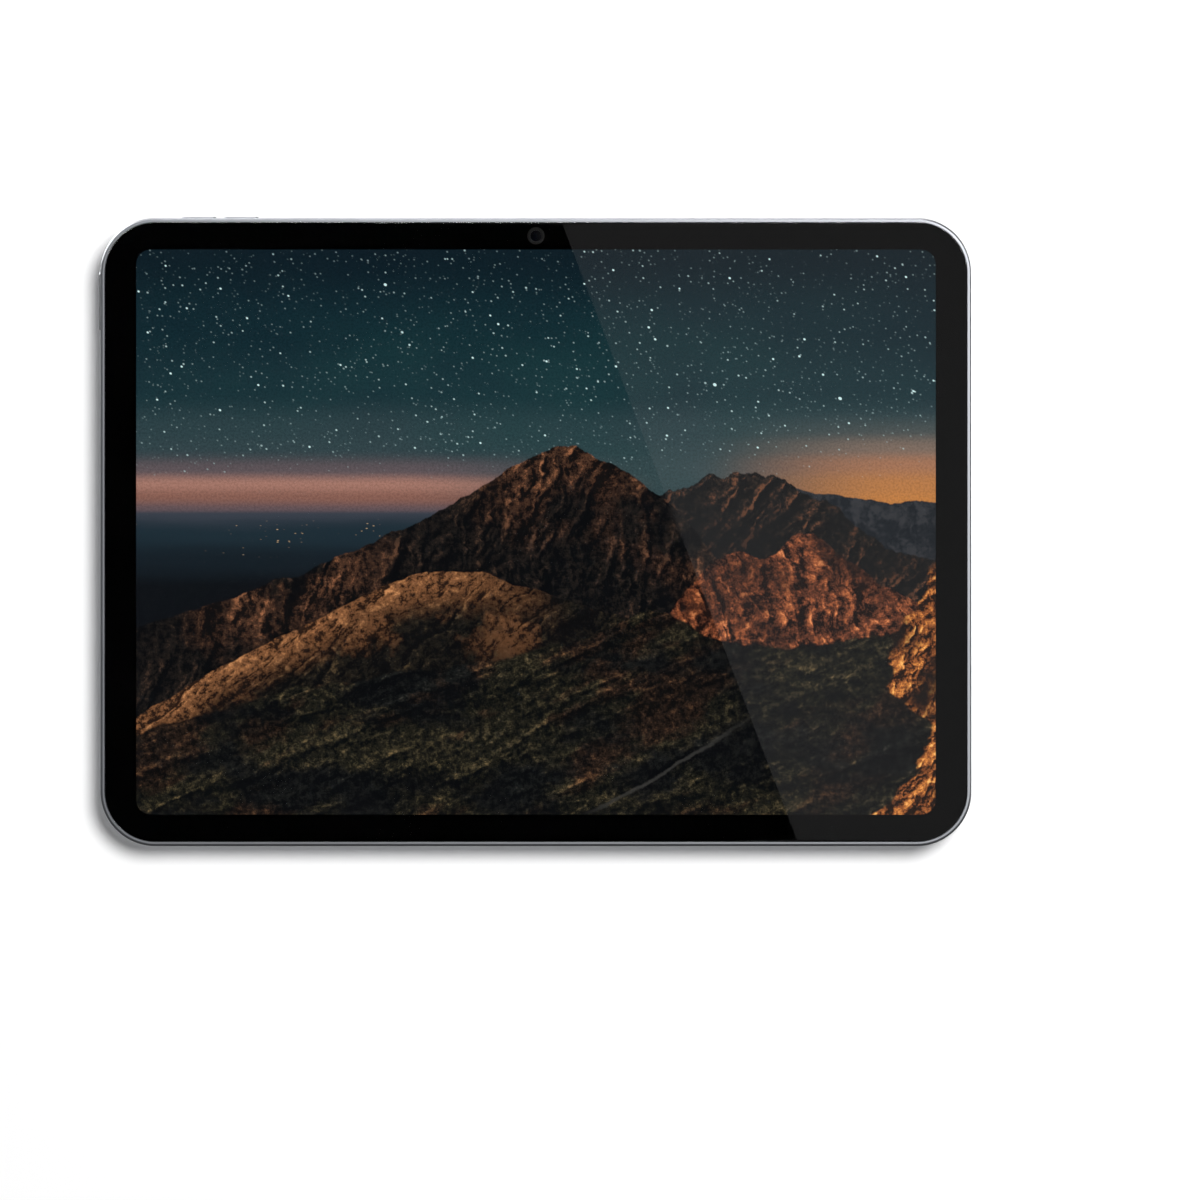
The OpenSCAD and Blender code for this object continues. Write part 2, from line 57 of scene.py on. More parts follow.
CASE_LOW, CASE_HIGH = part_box("rear_case")
HALF_W, HALF_H = CASE_HIGH.x, CASE_HIGH.z
CASE_DEPTH = -CASE_LOW.y
GLASS_LOW, GLASS_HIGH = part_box("cover_glass")
GLASS_FRONT, GLASS_BACK = -GLASS_LOW.y, -GLASS_HIGH.y
SCREEN_LOW, SCREEN_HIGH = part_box("optical_adhesive")
PANEL_LOW, PANEL_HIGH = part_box("display_panel")
PORT_LOW, PORT_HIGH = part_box("port_shell")
MID_DEPTH = -(PORT_LOW.y + PORT_HIGH.y) / 2

# Sizes that the boxes don't tell, as in the CAD
CORNER_R = 15.6 * MM
SCREEN_R = 4.2 * MM
PICTURE_W = (SCREEN_HIGH.x - SCREEN_LOW.x) / (SCREEN_HIGH.z - SCREEN_LOW.z)
WALL = 2.0 * MM
FLOOR = 0.8 * MM
RIM = 1.2 * MM
SPEAKER_HOLES, SPEAKER_PITCH, SPEAKER_R = 8, 2.4 * MM, 0.6 * MM
BUTTON_PROUD = 0.4 * MM
SOCKET_OPENING = (8.54 * MM, 2.76 * MM)
SOCKET_INSIDE = 8.34 * MM
TONGUE_W, TONGUE_THICK = 6.69 * MM, 0.7 * MM
TOP_MICROPHONE_INSET = 1.8 * MM
REAR_MICROPHONE_OFFSET = 11.8 * MM
CORNER_STEPS = 28
ROUND_STEPS = 48
SHARP_ANGLE = math.radians(32)

# ---- Camera ----

CAMERA_DISTANCE = 2.0
FRAME_WIDTH = 342 * MM
# The tablet sits left of and above the middle of the picture.
AIM = Vector((18.2 * MM, 0, -19.3 * MM))


def make_camera():
    data = bpy.data.cameras.new("camera")
    data.sensor_width = 36
    data.lens = data.sensor_width * CAMERA_DISTANCE / FRAME_WIDTH
    camera = bpy.data.objects.new("camera", data)
    camera.location = AIM + Vector((0, -CAMERA_DISTANCE, 0))
    camera.rotation_euler = (math.pi / 2, 0, 0)
    bpy.context.scene.collection.objects.link(camera)
    bpy.context.scene.camera = camera
    return camera


camera = make_camera()

# ---- Shader building ----


def rgb(red, green, blue):
    """A colour from 0 to 255 a channel, as the linear values that shaders take."""

    def linear(value):
        value /= 255
        return value / 12.92 if value <= 0.04045 else ((value + 0.055) / 1.055) ** 2.4

    return (linear(red), linear(green), linear(blue), 1.0)


class Field:
    """A number or colour that varies over a surface: a node's output, with arithmetic."""

    def __init__(self, shader, socket):
        self.shader, self.socket = shader, socket

    def __add__(self, other):
        return self.shader.math("ADD", self, other)

    __radd__ = __add__

    def __mul__(self, other):
        return self.shader.math("MULTIPLY", self, other)

    __rmul__ = __mul__

    def __sub__(self, other):
        return self.shader.math("SUBTRACT", self, other)

    def __rsub__(self, other):
        return self.shader.math("SUBTRACT", other, self)

    def __truediv__(self, other):
        return self.shader.math("DIVIDE", self, other)

    def __pow__(self, other):
        return self.shader.math("POWER", self, other)


class Shader:
    """A material on one Principled shader, and short calls for the nodes that feed it."""

    def __init__(self, name, **constants):
        self.material = bpy.data.materials.new(name)
        self.material.use_nodes = True
        self.tree = self.material.node_tree
        self.tree.nodes.clear()
        self.surface = self.tree.nodes.new("ShaderNodeBsdfPrincipled")
        self.output = self.tree.nodes.new("ShaderNodeOutputMaterial")
        self.tree.links.new(self.surface.outputs[0], self.output.inputs["Surface"])
        for key, value in constants.items():
            self.surface.inputs[key.replace("_", " ")].default_value = value

    def node(self, kind, **settings):
        made = self.tree.nodes.new(kind)
        for key, value in settings.items():
            setattr(made, key, value)
        return made

    def feed(self, socket, value):
        if isinstance(value, Field):
            self.tree.links.new(value.socket, socket)
        else:
            socket.default_value = value

    def set(self, socket_name, value):
        self.feed(self.surface.inputs[socket_name], value)

    def math(self, operation, *values, clamp=False):
        made = self.node("ShaderNodeMath", operation=operation, use_clamp=clamp)
        for socket, value in zip(made.inputs, values):
            self.feed(socket, value)
        return Field(self, made.outputs[0])

    def place(self):
        """The three coordinates of a point, in metres in the tablet's own frame."""
        spot = self.node("ShaderNodeTexCoord")
        split = self.node("ShaderNodeSeparateXYZ")
        self.tree.links.new(spot.outputs["Object"], split.inputs[0])
        return [Field(self, s) for s in split.outputs]

    def vector(self, x, y, z=0.0):
        made = self.node("ShaderNodeCombineXYZ")
        for socket, value in zip(made.inputs, (x, y, z)):
            self.feed(socket, value)
        return Field(self, made.outputs[0])

    def fractal(self, kind, at, **settings):
        made = self.node("ShaderNodeTexNoise", noise_dimensions="3D", noise_type=kind)
        self.feed(made.inputs["Vector"], at)
        for key, value in settings.items():
            made.inputs[key].default_value = value
        return Field(self, made.outputs["Fac"])

    def noise(self, at=None, scale=1.0, detail=2.0, roughness=0.5):
        """Soft clouds, 0 to 1, at a vector or at the point's own place."""
        if at is None:
            spot = self.node("ShaderNodeTexCoord")
            at = Field(self, spot.outputs["Object"])
        return self.fractal("FBM", at, Scale=scale, Detail=detail, Roughness=roughness)

    def ridged(self, at, detail):
        """Sharp crests and valleys, for rock."""
        shape = {"Roughness": 0.6, "Lacunarity": 2.1, "Offset": 0.9, "Gain": 1.6}
        return self.fractal("RIDGED_MULTIFRACTAL", at, Scale=1.0, Detail=detail, **shape)

    def cells(self, at, scale, randomness=1.0):
        """(distance to the nearest cell point, a random number of that cell)."""
        made = self.node("ShaderNodeTexVoronoi", voronoi_dimensions="3D")
        self.feed(made.inputs["Vector"], at)
        made.inputs["Scale"].default_value = scale
        made.inputs["Randomness"].default_value = randomness
        split = self.node("ShaderNodeSeparateColor")
        self.tree.links.new(made.outputs["Color"], split.inputs[0])
        return Field(self, made.outputs["Distance"]), Field(self, split.outputs[0])

    def step(self, value, low, high):
        """0 below low and 1 above high, and smooth between. low may be the larger."""
        made = self.node("ShaderNodeMapRange", interpolation_type="SMOOTHSTEP")
        self.feed(made.inputs["Value"], value)
        fixed = not isinstance(low, Field) and not isinstance(high, Field)
        flip = fixed and low > high
        ends = (high, low) if flip else (low, high)
        self.feed(made.inputs["From Min"], ends[0])
        self.feed(made.inputs["From Max"], ends[1])
        made.inputs["To Min"].default_value = 1.0 if flip else 0.0
        made.inputs["To Max"].default_value = 0.0 if flip else 1.0
        return Field(self, made.outputs["Result"])

    def mix(self, first, second, share):
        made = self.node("ShaderNodeMix", data_type="RGBA", clamp_factor=True)
        self.feed(made.inputs[0], share)
        self.feed(made.inputs[6], first)
        self.feed(made.inputs[7], second)
        return Field(self, made.outputs[2])

    def ramp(self, value, stops):
        """A colour looked up along stops of (place, red, green, blue)."""
        made = self.node("ShaderNodeValToRGB")
        ramp = made.color_ramp
        ramp.interpolation = "EASE"
        while len(ramp.elements) < len(stops):
            ramp.elements.new(0.5)
        for element, (place, *colour) in zip(ramp.elements, stops):
            element.position = place
            element.color = rgb(*colour)
        self.feed(made.inputs[0], value)
        return Field(self, made.outputs["Color"])

    def bump(self, height, depth, strength=1.0):
        made = self.node("ShaderNodeBump")
        made.inputs["Strength"].default_value = strength
        made.inputs["Distance"].default_value = depth
        self.feed(made.inputs["Height"], height)
        self.tree.links.new(made.outputs[0], self.surface.inputs["Normal"])


# ---- The picture on the screen: a night in the mountains ----


def landscape_ridge(s, u, points, rough, seed, amount):
    """The height of a skyline along u: a curve through points, broken up by noise."""
    made = s.node("ShaderNodeFloatCurve")
    curve = made.mapping.curves[0]
    while len(curve.points) < len(points):
        curve.points.new(0.5, 0.5)
    for point, (x, y) in zip(curve.points, points):
        point.location = (x / PICTURE_W, y)
    made.mapping.update()
    s.feed(made.inputs["Value"], u / PICTURE_W)
    crag = s.noise(s.vector(u, seed, 0.0), scale=rough, detail=7, roughness=0.55)
    return Field(s, made.outputs[0]) + (crag - 0.5) * amount


def rock_face(s, u, v, seed, lean, across, along, light, gain, detail=7):
    """Light on crags, 0 to 1: how much a rough height field rises away from the light.

    The crags run down a slope that leans by lean (sideways for each step down).
    """
    side = u - v * lean
    bend = s.noise(s.vector(u, v, seed + 3.1), scale=7, detail=5, roughness=0.6) * 0.11
    at = s.vector((side + bend) * across, (v + bend) * along, seed)
    moved = s.vector((side + bend + light[0]) * across, (v + bend + light[1]) * along, seed)
    rise = s.ridged(at, detail) - s.ridged(moved, detail)
    grit = s.noise(s.vector(u, v, seed), scale=75, detail=4, roughness=0.85) - 0.5
    return s.math("MULTIPLY_ADD", rise, gain, grit * 2.4 + 0.36, clamp=True)


def night_sky(s, u, v):
    """Teal above, and a warm glow on the horizon at both sides."""
    grain = s.noise(s.vector(u, v, 7.0), scale=260, detail=1)
    drift = s.noise(s.vector(u * 0.7, v, 2.0), scale=3.2, detail=4)
    teal = s.ramp(
        v + (drift - 0.5) * 0.035,
        (
            (0.52, 44, 56, 64),
            (0.60, 66, 80, 84),
            (0.68, 48, 68, 73),
            (0.75, 26, 50, 57),
            (0.86, 18, 41, 49),
            (1.0, 14, 30, 38),
        ),
    )
    teal = s.mix(teal, rgb(30, 66, 68), s.step(drift, 0.42, 0.75) * s.step(v, 0.98, 0.75) * 0.55)
    teal = s.mix(teal, rgb(10, 20, 32), s.step(drift, 0.5, 0.25) * 0.45)
    west = s.ramp(
        v + (drift - 0.5) * 0.012,
        (
            (0.515, 46, 54, 64),
            (0.54, 100, 84, 88),
            (0.562, 140, 98, 86),
            (0.585, 168, 122, 108),
            (0.61, 96, 86, 90),
            (0.65, 44, 64, 70),
        ),
    )
    east = s.ramp(
        v + (drift - 0.5) * 0.012,
        (
            (0.55, 196, 128, 66),
            (0.585, 186, 124, 72),
            (0.62, 166, 117, 88),
            (0.648, 126, 108, 96),
            (0.68, 78, 84, 83),
            (0.73, 44, 66, 71),
        ),
    )
    sky = s.mix(teal, west, s.step(v, 0.665, 0.615) * s.step(u, 0.95, 0.45))
    sky = s.mix(sky, east, s.step(v, 0.73, 0.66) * s.step(u, 0.98, 1.36))
    sky = s.mix(sky, rgb(0, 0, 0), s.step(grain, 0.35, 0.7) * 0.22)
    bright = stars(s, u, v) * (drift * 0.9 + 0.55)
    return s.mix(sky, rgb(206, 236, 236), s.math("MINIMUM", bright, 1.0))


def stars(s, u, v):
    """Many faint stars and fewer bright ones, each a short slanting dash."""
    slant = s.vector(u * 0.8 + v * 0.45, v * 0.8 - u * 0.2, 0.0)
    total = None
    for scale, radius, rare, level in (
        (130, 0.0019, 0.0, 0.30),
        (84, 0.0021, 0.1, 0.8),
        (52, 0.0023, 0.2, 2.0),
        (18, 0.0031, 0.5, 4.0),
    ):
        away, chance = s.cells(slant, scale)
        spot = s.step(away, radius * scale, radius * scale * 0.15)
        one = spot * s.step(chance, rare, 1.0) * level
        total = one if total is None else total + one
    return total * s.step(v, 0.57, 0.68)


def western_plain(s, u, v):
    """The plain under the western glow, with the lights of far towns."""
    haze = s.noise(s.vector(u * 0.5, v * 5, 11.0), scale=6, detail=5)
    plain = s.ramp(
        v + (haze - 0.5) * 0.03,
        ((0.40, 14, 17, 21), (0.45, 22, 31, 38), (0.50, 30, 45, 54), (0.535, 58, 64, 74)),
    )
    away, chance = s.cells(s.vector(u, v * 2.2, 0.0), 95)
    town = s.step(s.noise(s.vector(u, v * 3.0, 5.0), scale=6.5, detail=1), 0.46, 0.56)
    town = town * s.step(v, 0.525, 0.505) * s.step(v, 0.45, 0.475)
    lights = s.step(away, 0.25, 0.05) * s.step(chance, 0.55, 0.8) * town * 0.8
    return s.mix(plain, rgb(255, 214, 160), lights)


# Each layer of the land gives its skyline and its colour.


def far_ridge(s, u, v):
    """In the east, blue with distance."""
    points = ((0, 0.0), (0.88, 0.50), (0.98, 0.575), (1.1, 0.585), (1.25, 0.562), (PICTURE_W, 0.55))
    skyline = landscape_ridge(s, u, points, 14, 21.0, 0.035)
    shade = rock_face(s, u, v, 22.0, 0.2, 16, 12, (0.004, 0.006), 1.0, 4)
    return skyline, s.ramp(shade, ((0.1, 24, 29, 35), (0.9, 50, 52, 56)))


def jagged_range(s, u, v):
    points = (
        (0, 0.0), (0.80, 0.46), (0.93, 0.565), (1.03, 0.60), (1.12, 0.598), (1.22, 0.55),
        (1.33, 0.475), (PICTURE_W, 0.45),
    )
    skyline = landscape_ridge(s, u, points, 19, 31.0, 0.07)
    shade = rock_face(s, u, v, 32.0, 0.35, 13, 7, (-0.005, 0.004), 1.0)
    warm = s.noise(s.vector(u, v, 33.0), scale=4.5, detail=4)
    tone = s.ramp(shade, ((0.25, 16, 17, 18), (0.55, 40, 33, 29), (0.95, 112, 72, 50)))
    return skyline, s.mix(tone, rgb(22, 23, 24), s.step(warm, 0.56, 0.38) * 0.75)


def great_peak(s, u, v):
    """In the middle, with a lit western shoulder and light under the summit."""
    points = (
        (0, 0.33), (0.14, 0.375), (0.32, 0.44), (0.48, 0.51), (0.62, 0.585), (0.70, 0.635),
        (0.76, 0.65), (0.83, 0.625), (0.90, 0.585), (0.98, 0.51), (1.08, 0.40), (PICTURE_W, 0.2),
    )
    skyline = landscape_ridge(s, u, points, 15, 41.0, 0.045)
    shade = rock_face(s, u, v, 42.0, 0.15, 10, 4, (-0.006, 0.006), 1.0)
    warm = s.noise(s.vector(u * 1.3, v, 43.0), scale=5.0, detail=6, roughness=0.6)
    dark = s.ramp(shade, ((0.2, 9, 10, 12), (0.6, 27, 24, 22), (1.0, 62, 46, 37)))
    lit = s.ramp(shade, ((0.15, 20, 17, 16), (0.5, 78, 52, 38), (1.0, 178, 116, 78)))
    shoulder = s.step(skyline - v, 0.14, 0.02) * s.step(u, 0.52, 0.3) * s.step(u, 0.06, 0.2)
    summit = s.step(skyline - v, 0.19, 0.02) * s.step(u, 0.56, 0.72) * 0.8
    share = s.math("MAXIMUM", shoulder, summit) * s.step(warm, 0.41, 0.55)
    return skyline, s.mix(dark, lit, share)


def warm_crags(s, u, v):
    points = (
        (0, 0.0), (0.90, 0.30), (0.98, 0.405), (1.06, 0.465), (1.12, 0.455), (1.18, 0.50),
        (1.25, 0.455), (1.33, 0.40), (PICTURE_W, 0.36),
    )
    skyline = landscape_ridge(s, u, points, 13, 51.0, 0.05)
    shade = rock_face(s, u, v, 52.0, -0.5, 14, 8, (-0.004, 0.005), 1.0)
    warm = s.noise(s.vector(u, v, 53.0), scale=6.0, detail=5)
    lit = s.ramp(
        shade, ((0.12, 24, 16, 14), (0.42, 92, 52, 36), (0.7, 156, 86, 52), (1.0, 228, 142, 88))
    )
    return skyline, s.mix(lit, rgb(30, 21, 19), s.step(warm, 0.5, 0.34) * 0.8)


def grassy_crest(s, u, v):
    """A long crest from the lower left, its top edge in the light."""
    points = (
        (0, 0.17), (0.14, 0.255), (0.32, 0.345), (0.47, 0.415), (0.58, 0.43), (0.70, 0.40),
        (0.82, 0.36), (0.95, 0.33), (1.1, 0.29), (PICTURE_W, 0.26),
    )
    skyline = landscape_ridge(s, u, points, 11, 61.0, 0.035)
    below = skyline - v
    shade = rock_face(s, u, v, 62.0, 1.1, 10, 5, (0.005, 0.006), 0.9)
    warm = s.noise(s.vector(u, v, 63.0), scale=7.0, detail=6, roughness=0.6)
    dark = s.ramp(shade, ((0.2, 11, 11, 12), (0.6, 30, 27, 22), (1.0, 74, 60, 42)))
    lit = s.ramp(shade, ((0.1, 40, 27, 20), (0.45, 124, 82, 52), (1.0, 204, 142, 92)))
    edge = s.step(below + (warm - 0.5) * 0.09, 0.085, 0.01) * s.step(u, 0.78, 0.5)
    ribs = s.step(below + (shade - 0.5) * 0.1, 0.2, 0.06) * s.step(warm, 0.5, 0.62)
    share = s.math("MAXIMUM", edge, ribs * s.step(u, 0.9, 0.6) * 0.6)
    return skyline, s.mix(dark, lit, share)


def near_ground(s, u, v):
    """Dark green and grey, with a faint path."""
    points = (
        (0, 0.14), (0.2, 0.20), (0.45, 0.25), (0.62, 0.27), (0.8, 0.315), (0.93, 0.36),
        (1.02, 0.31), (1.15, 0.30), (1.28, 0.31), (PICTURE_W, 0.34),
    )
    skyline = landscape_ridge(s, u, points, 9, 71.0, 0.06)
    shade = rock_face(s, u, v, 72.0, 1.3, 6, 7, (-0.006, 0.006), 0.7)
    warm = s.noise(s.vector(u, v * 1.6, 73.0), scale=4.0, detail=7, roughness=0.62)
    grass = s.ramp(
        shade, ((0.1, 9, 11, 12), (0.42, 28, 27, 21), (0.66, 58, 52, 37), (1.0, 118, 98, 66))
    )
    brown = s.ramp(
        shade, ((0.15, 12, 11, 11), (0.45, 38, 28, 22), (0.75, 78, 54, 37), (1.0, 140, 98, 62))
    )
    deep = s.ramp(shade, ((0.2, 8, 9, 11), (0.7, 24, 25, 24), (1.0, 54, 52, 46)))
    along = s.vector(u * 0.8 + v * 0.5, v * 2.2 - u * 1.1, 74.0)
    slope = s.noise(along, scale=4.2, detail=5, roughness=0.6)
    ground = s.mix(grass, brown, s.step(slope, 0.5, 0.6))
    ground = s.mix(deep, ground, s.step(warm, 0.42, 0.54))
    path = s.math("ABSOLUTE", v - (u * 0.62 - 0.50) - (warm - 0.5) * 0.07)
    path = s.step(path, 0.006, 0.001) * s.step(u, 1.12, 0.98) * s.step(u, 0.78, 0.84)
    return skyline, s.mix(ground, rgb(84, 82, 78), path * 0.3)


def with_outcrop(s, u, v, picture):
    """Adds a bright outcrop at the right edge, whose outline is a skyline on its side."""
    points = (
        (0, 0.80), (0.15, 0.955), (0.28, 0.985), (0.38, 0.945), (0.5, 0.955), (0.60, 1.0),
        (PICTURE_W, 1.0),
    )
    left = landscape_ridge(s, v * 1.2 + 0.1, points, 9, 81.0, 0.10)
    shade = rock_face(s, u, v, 82.0, 0.4, 16, 11, (-0.004, 0.003), 1.1)
    lit = s.ramp(
        shade, ((0.15, 30, 18, 12), (0.45, 140, 78, 40), (0.75, 220, 138, 66), (1.0, 255, 196, 110))
    )
    share = s.step(u / PICTURE_W, left - 0.003, left + 0.003) * s.step(v, 0.46, 0.40)
    warm = s.step(s.noise(s.vector(u, v, 83.0), scale=8.0, detail=5), 0.36, 0.5)
    return s.mix(picture, s.mix(rgb(24, 18, 16), lit, warm), share)


def night_landscape(s, u, v):
    """The picture's colour where u runs 0 to PICTURE_W and v 0 to 1."""
    picture = s.mix(night_sky(s, u, v), western_plain(s, u, v), s.step(v, 0.541, 0.531))
    far_soft, near_soft = 0.0016, 0.003
    for layer in (far_ridge, jagged_range, great_peak, warm_crags, grassy_crest, near_ground):
        skyline, colour = layer(s, u, v)
        soft = near_soft if layer is near_ground else far_soft
        picture = s.mix(picture, colour, s.step(v, skyline + soft, skyline - soft))
    return with_outcrop(s, u, v, picture)


# ---- Finishes ----


def two_tone(s, colour, spread, scale, detail=3):
    """The colour, drifting darker and lighter by spread over clouds."""
    low, high = ([min(c * k, 1.0) for c in colour[:3]] + [1.0] for k in (1 - spread, 1 + spread))
    return s.mix(tuple(low), tuple(high), s.noise(scale=scale, detail=detail))


def blasted(name, colour, roughness=0.36, grain=0.004 * MM):
    """Bead-blasted, anodised aluminium: fine dimples, and faint cloudy tone."""
    s = Shader(name, Metallic=1.0)
    s.set("Base Color", two_tone(s, colour, 0.05, 18))
    s.set("Roughness", s.noise(scale=9000) * 0.08 + (roughness - 0.04))
    s.bump(s.noise(scale=14000, detail=3, roughness=0.6), grain, 0.5)
    return s.material


def rolled(name, colour, roughness=0.3, squeeze=(1, 14, 14), spread=0.1):
    """Sheet or drawn metal, with fine lines along the axis that is squeezed least."""
    s = Shader(name, Metallic=1.0)
    x, y, z = s.place()
    streak = s.noise(s.vector(x * squeeze[0], y * squeeze[1], z * squeeze[2]), scale=1400, detail=3)
    s.set("Base Color", two_tone(s, colour, spread, 160))
    s.set("Roughness", streak * 0.16 + (roughness - 0.08))
    s.bump(streak, 0.003 * MM, 0.5)
    return s.material


def turned_metal(name, colour, centre, roughness=0.22):
    """Metal off a lathe: fine rings round centre, (x, z)."""
    s = Shader(name, Metallic=1.0)
    x, y, z = s.place()
    away = s.math("SQRT", (x - centre[0]) ** 2 + (z - centre[1]) ** 2)
    rings = s.noise(s.vector(away * 9000, y * 9000, 0.0), scale=1, detail=2)
    s.set("Base Color", two_tone(s, colour, 0.05, 300))
    s.set("Roughness", rings * 0.12 + (roughness - 0.06))
    s.bump(rings, 0.002 * MM, 0.5)
    return s.material


def moulded(name, colour, roughness=0.5, grain=0.006 * MM, scale=6000, spread=0.12):
    """Plastic, print, foam or resin with an even fine grain."""
    s = Shader(name, Specular_IOR_Level=0.4)
    skin = s.noise(scale=scale, detail=3, roughness=0.6)
    s.set("Base Color", two_tone(s, colour, spread, 220))
    s.set("Roughness", skin * 0.16 + (roughness - 0.08))
    s.bump(skin, grain, 0.6)
    return s.material


def printed_black(name):
    """Opaque black print on the back of glass."""
    s = Shader(name, Specular_IOR_Level=0.0)
    dots = s.noise(scale=6000)
    s.set("Base Color", s.mix(rgb(1, 1, 1), rgb(5, 5, 6), dots))
    s.set("Roughness", dots * 0.2 + 0.7)
    return s.material


def clear(name, ior=1.5, tint=(1.0, 1.0, 1.0, 1.0), smear=0.02):
    """Polished glass or clear resin, with the faint unevenness of an oil-shedding coat."""
    s = Shader(name, Transmission_Weight=1.0, IOR=ior, Base_Color=tint)
    s.set("Roughness", s.step(s.noise(scale=40, detail=4, roughness=0.6), 0.45, 0.8) * smear)
    return s.material


def coated_lens(name, colour=(0.003, 0.004, 0.009, 1.0)):
    """Dark glass, its base colour painted with a violet and green sheen that changes with the
    angle: a painted reflection of the coating.
    """
    s = Shader(name, Roughness=0.04, Specular_IOR_Level=0.25, Coat_Weight=0.25, Coat_Roughness=0.02)
    # Painted sheen: the base colour turns violet and then green as the surface turns away from the
    # view.
    turn = s.node("ShaderNodeLayerWeight")
    turn.inputs["Blend"].default_value = 0.35
    facing = Field(s, turn.outputs["Facing"])
    painted_sheen_cloud = s.noise(scale=900)
    tint = s.mix(colour, (0.011, 0.005, 0.024, 1.0), s.step(facing + painted_sheen_cloud * 0.2, 0.1, 0.6))
    s.set("Base Color", s.mix(tint, (0.003, 0.014, 0.012, 1.0), s.step(facing, 0.5, 0.95)))
    return s.material


def smoked_window(name, colour=(0.012, 0.012, 0.014, 1.0)):
    """A hard polished window over black print."""
    s = Shader(name, IOR=1.75, Coat_Weight=0.5, Coat_Roughness=0.03)
    s.set("Base Color", two_tone(s, colour, 0.3, 300))
    s.set("Roughness", s.noise(scale=500, detail=3) * 0.03 + 0.03)
    return s.material


def pouch_foil(name, colour):
    """Black film over a foil pouch: soft creases, a satin shine from the metal and roughness, and a
    painted sheen that lightens the crease tops.
    """
    s = Shader(name, Metallic=0.35)
    crease_and_painted_sheen = s.noise(scale=55, detail=6, roughness=0.62)
    # Painted sheen: the base colour turns light grey on the raised crease tops.
    s.set("Base Color", s.mix(colour, (0.16, 0.16, 0.17, 1.0), s.step(crease_and_painted_sheen, 0.5, 0.75)))
    s.set("Roughness", crease_and_painted_sheen * 0.2 + 0.28)
    s.bump(crease_and_painted_sheen, 0.08 * MM, 0.7)
    return s.material


def board(name):
    """Green solder resist over copper tracks, with plated holes."""
    s = Shader(name, Coat_Weight=0.4, Coat_Roughness=0.15)
    x, _, z = s.place()
    bend = s.math("SNAP", s.noise(s.vector(x, 0.0, z), scale=90, detail=1) * 12 * MM, 1.2 * MM)
    lane = s.math("PINGPONG", x + bend, 0.45 * MM)
    other = s.math("PINGPONG", z + bend, 0.45 * MM)
    way = s.step(s.noise(s.vector(x, 1.0, z), scale=120, detail=0), 0.49, 0.51)
    track = s.step(lane * way + other * (1 - way), 0.2 * MM, 0.26 * MM)
    away, chance = s.cells(s.vector(x, 0.0, z), 420)
    hole = s.step(away, 0.2, 0.15) * s.step(chance, 0.7, 0.71)
    green = s.mix(rgb(8, 62, 40), rgb(22, 96, 62), track)
    s.set("Base Color", s.mix(green, rgb(196, 160, 92), hole))
    s.set("Metallic", hole)
    s.set("Roughness", s.noise(scale=2500) * 0.2 + 0.3)
    s.bump(track - hole, 0.02 * MM, 0.6)
    return s.material


def tracked_film(name, film, metal, pitch):
    """Film over parallel copper tracks, pitch apart."""
    s = Shader(name, Coat_Weight=0.5, Coat_Roughness=0.12)
    x, _, z = s.place()
    wave = s.noise(s.vector(x, 0.0, z), scale=40, detail=1) * 0.004
    lane = s.math("PINGPONG", x + z + wave, pitch / 2)
    track = s.step(lane, pitch * 0.2, pitch * 0.3)
    s.set("Base Color", s.mix(film, metal, track))
    s.set("Metallic", track * 0.7)
    s.set("Roughness", s.noise(scale=1800) * 0.15 + 0.28)
    s.bump(track, 0.01 * MM, 0.5)
    return s.material


def windings(name, colour, centre, pitch):
    """A flat coil: turns of wire round centre, (x, z), with painted shade that darkens the grooves
    between turns.
    """
    s = Shader(name, Metallic=0.9)
    x, _, z = s.place()
    away = s.math("SQRT", (x - centre[0]) ** 2 + (z - centre[1]) ** 2)
    turn = s.step(s.math("PINGPONG", away, pitch / 2), 0.0, pitch * 0.5)
    # Painted shade: the copper darkens to about a third in the grooves between turns and is
    # brightest along each turn's middle.
    s.set("Base Color", s.mix(tuple(c * 0.35 for c in colour[:3]) + (1.0,), colour, turn))
    s.set("Roughness", s.noise(scale=2600) * 0.15 + 0.25)
    s.bump(turn, 0.05 * MM, 0.8)
    return s.material


def dotted_guide(name):
    """Clear acrylic with rows of printed white dots."""
    s = Shader(name, Transmission_Weight=0.6, IOR=1.49)
    x, _, z = s.place()
    away, _ = s.cells(s.vector(x, 0.0, z), 900, 0.0)
    dot = s.step(away, 0.34, 0.26)
    s.set("Base Color", s.mix(rgb(226, 240, 244), rgb(255, 255, 255), dot))
    s.set("Roughness", dot * 0.5 + 0.06)
    return s.material


def woven(name, colour, pitch=0.2 * MM):
    """Fine metal mesh."""
    s = Shader(name, Metallic=0.8)
    x, y, z = s.place()
    weft = s.math("PINGPONG", z + x, pitch / 2)
    warp = s.math("PINGPONG", y, pitch / 2)
    wire = s.math("MAXIMUM", s.step(weft, 0.0, pitch / 2), s.step(warp, 0.0, pitch / 2))
    s.set("Base Color", s.mix((0.0, 0.0, 0.0, 1.0), colour, wire))
    s.set("Roughness", s.noise(scale=5000) * 0.2 + 0.35)
    s.bump(wire, 0.05 * MM, 0.9)
    return s.material


RECORD = frame["record"]


def middle(node):
    """(x, z) of the middle of a node's box."""
    low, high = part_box(node)
    return (low.x + high.x) / 2, (low.z + high.z) / 2


REAR_CAMERA = middle("rear_camera_ring")
CASE_GREY = rgb(124, 126, 130)
COPPER = rgb(214, 140, 96)

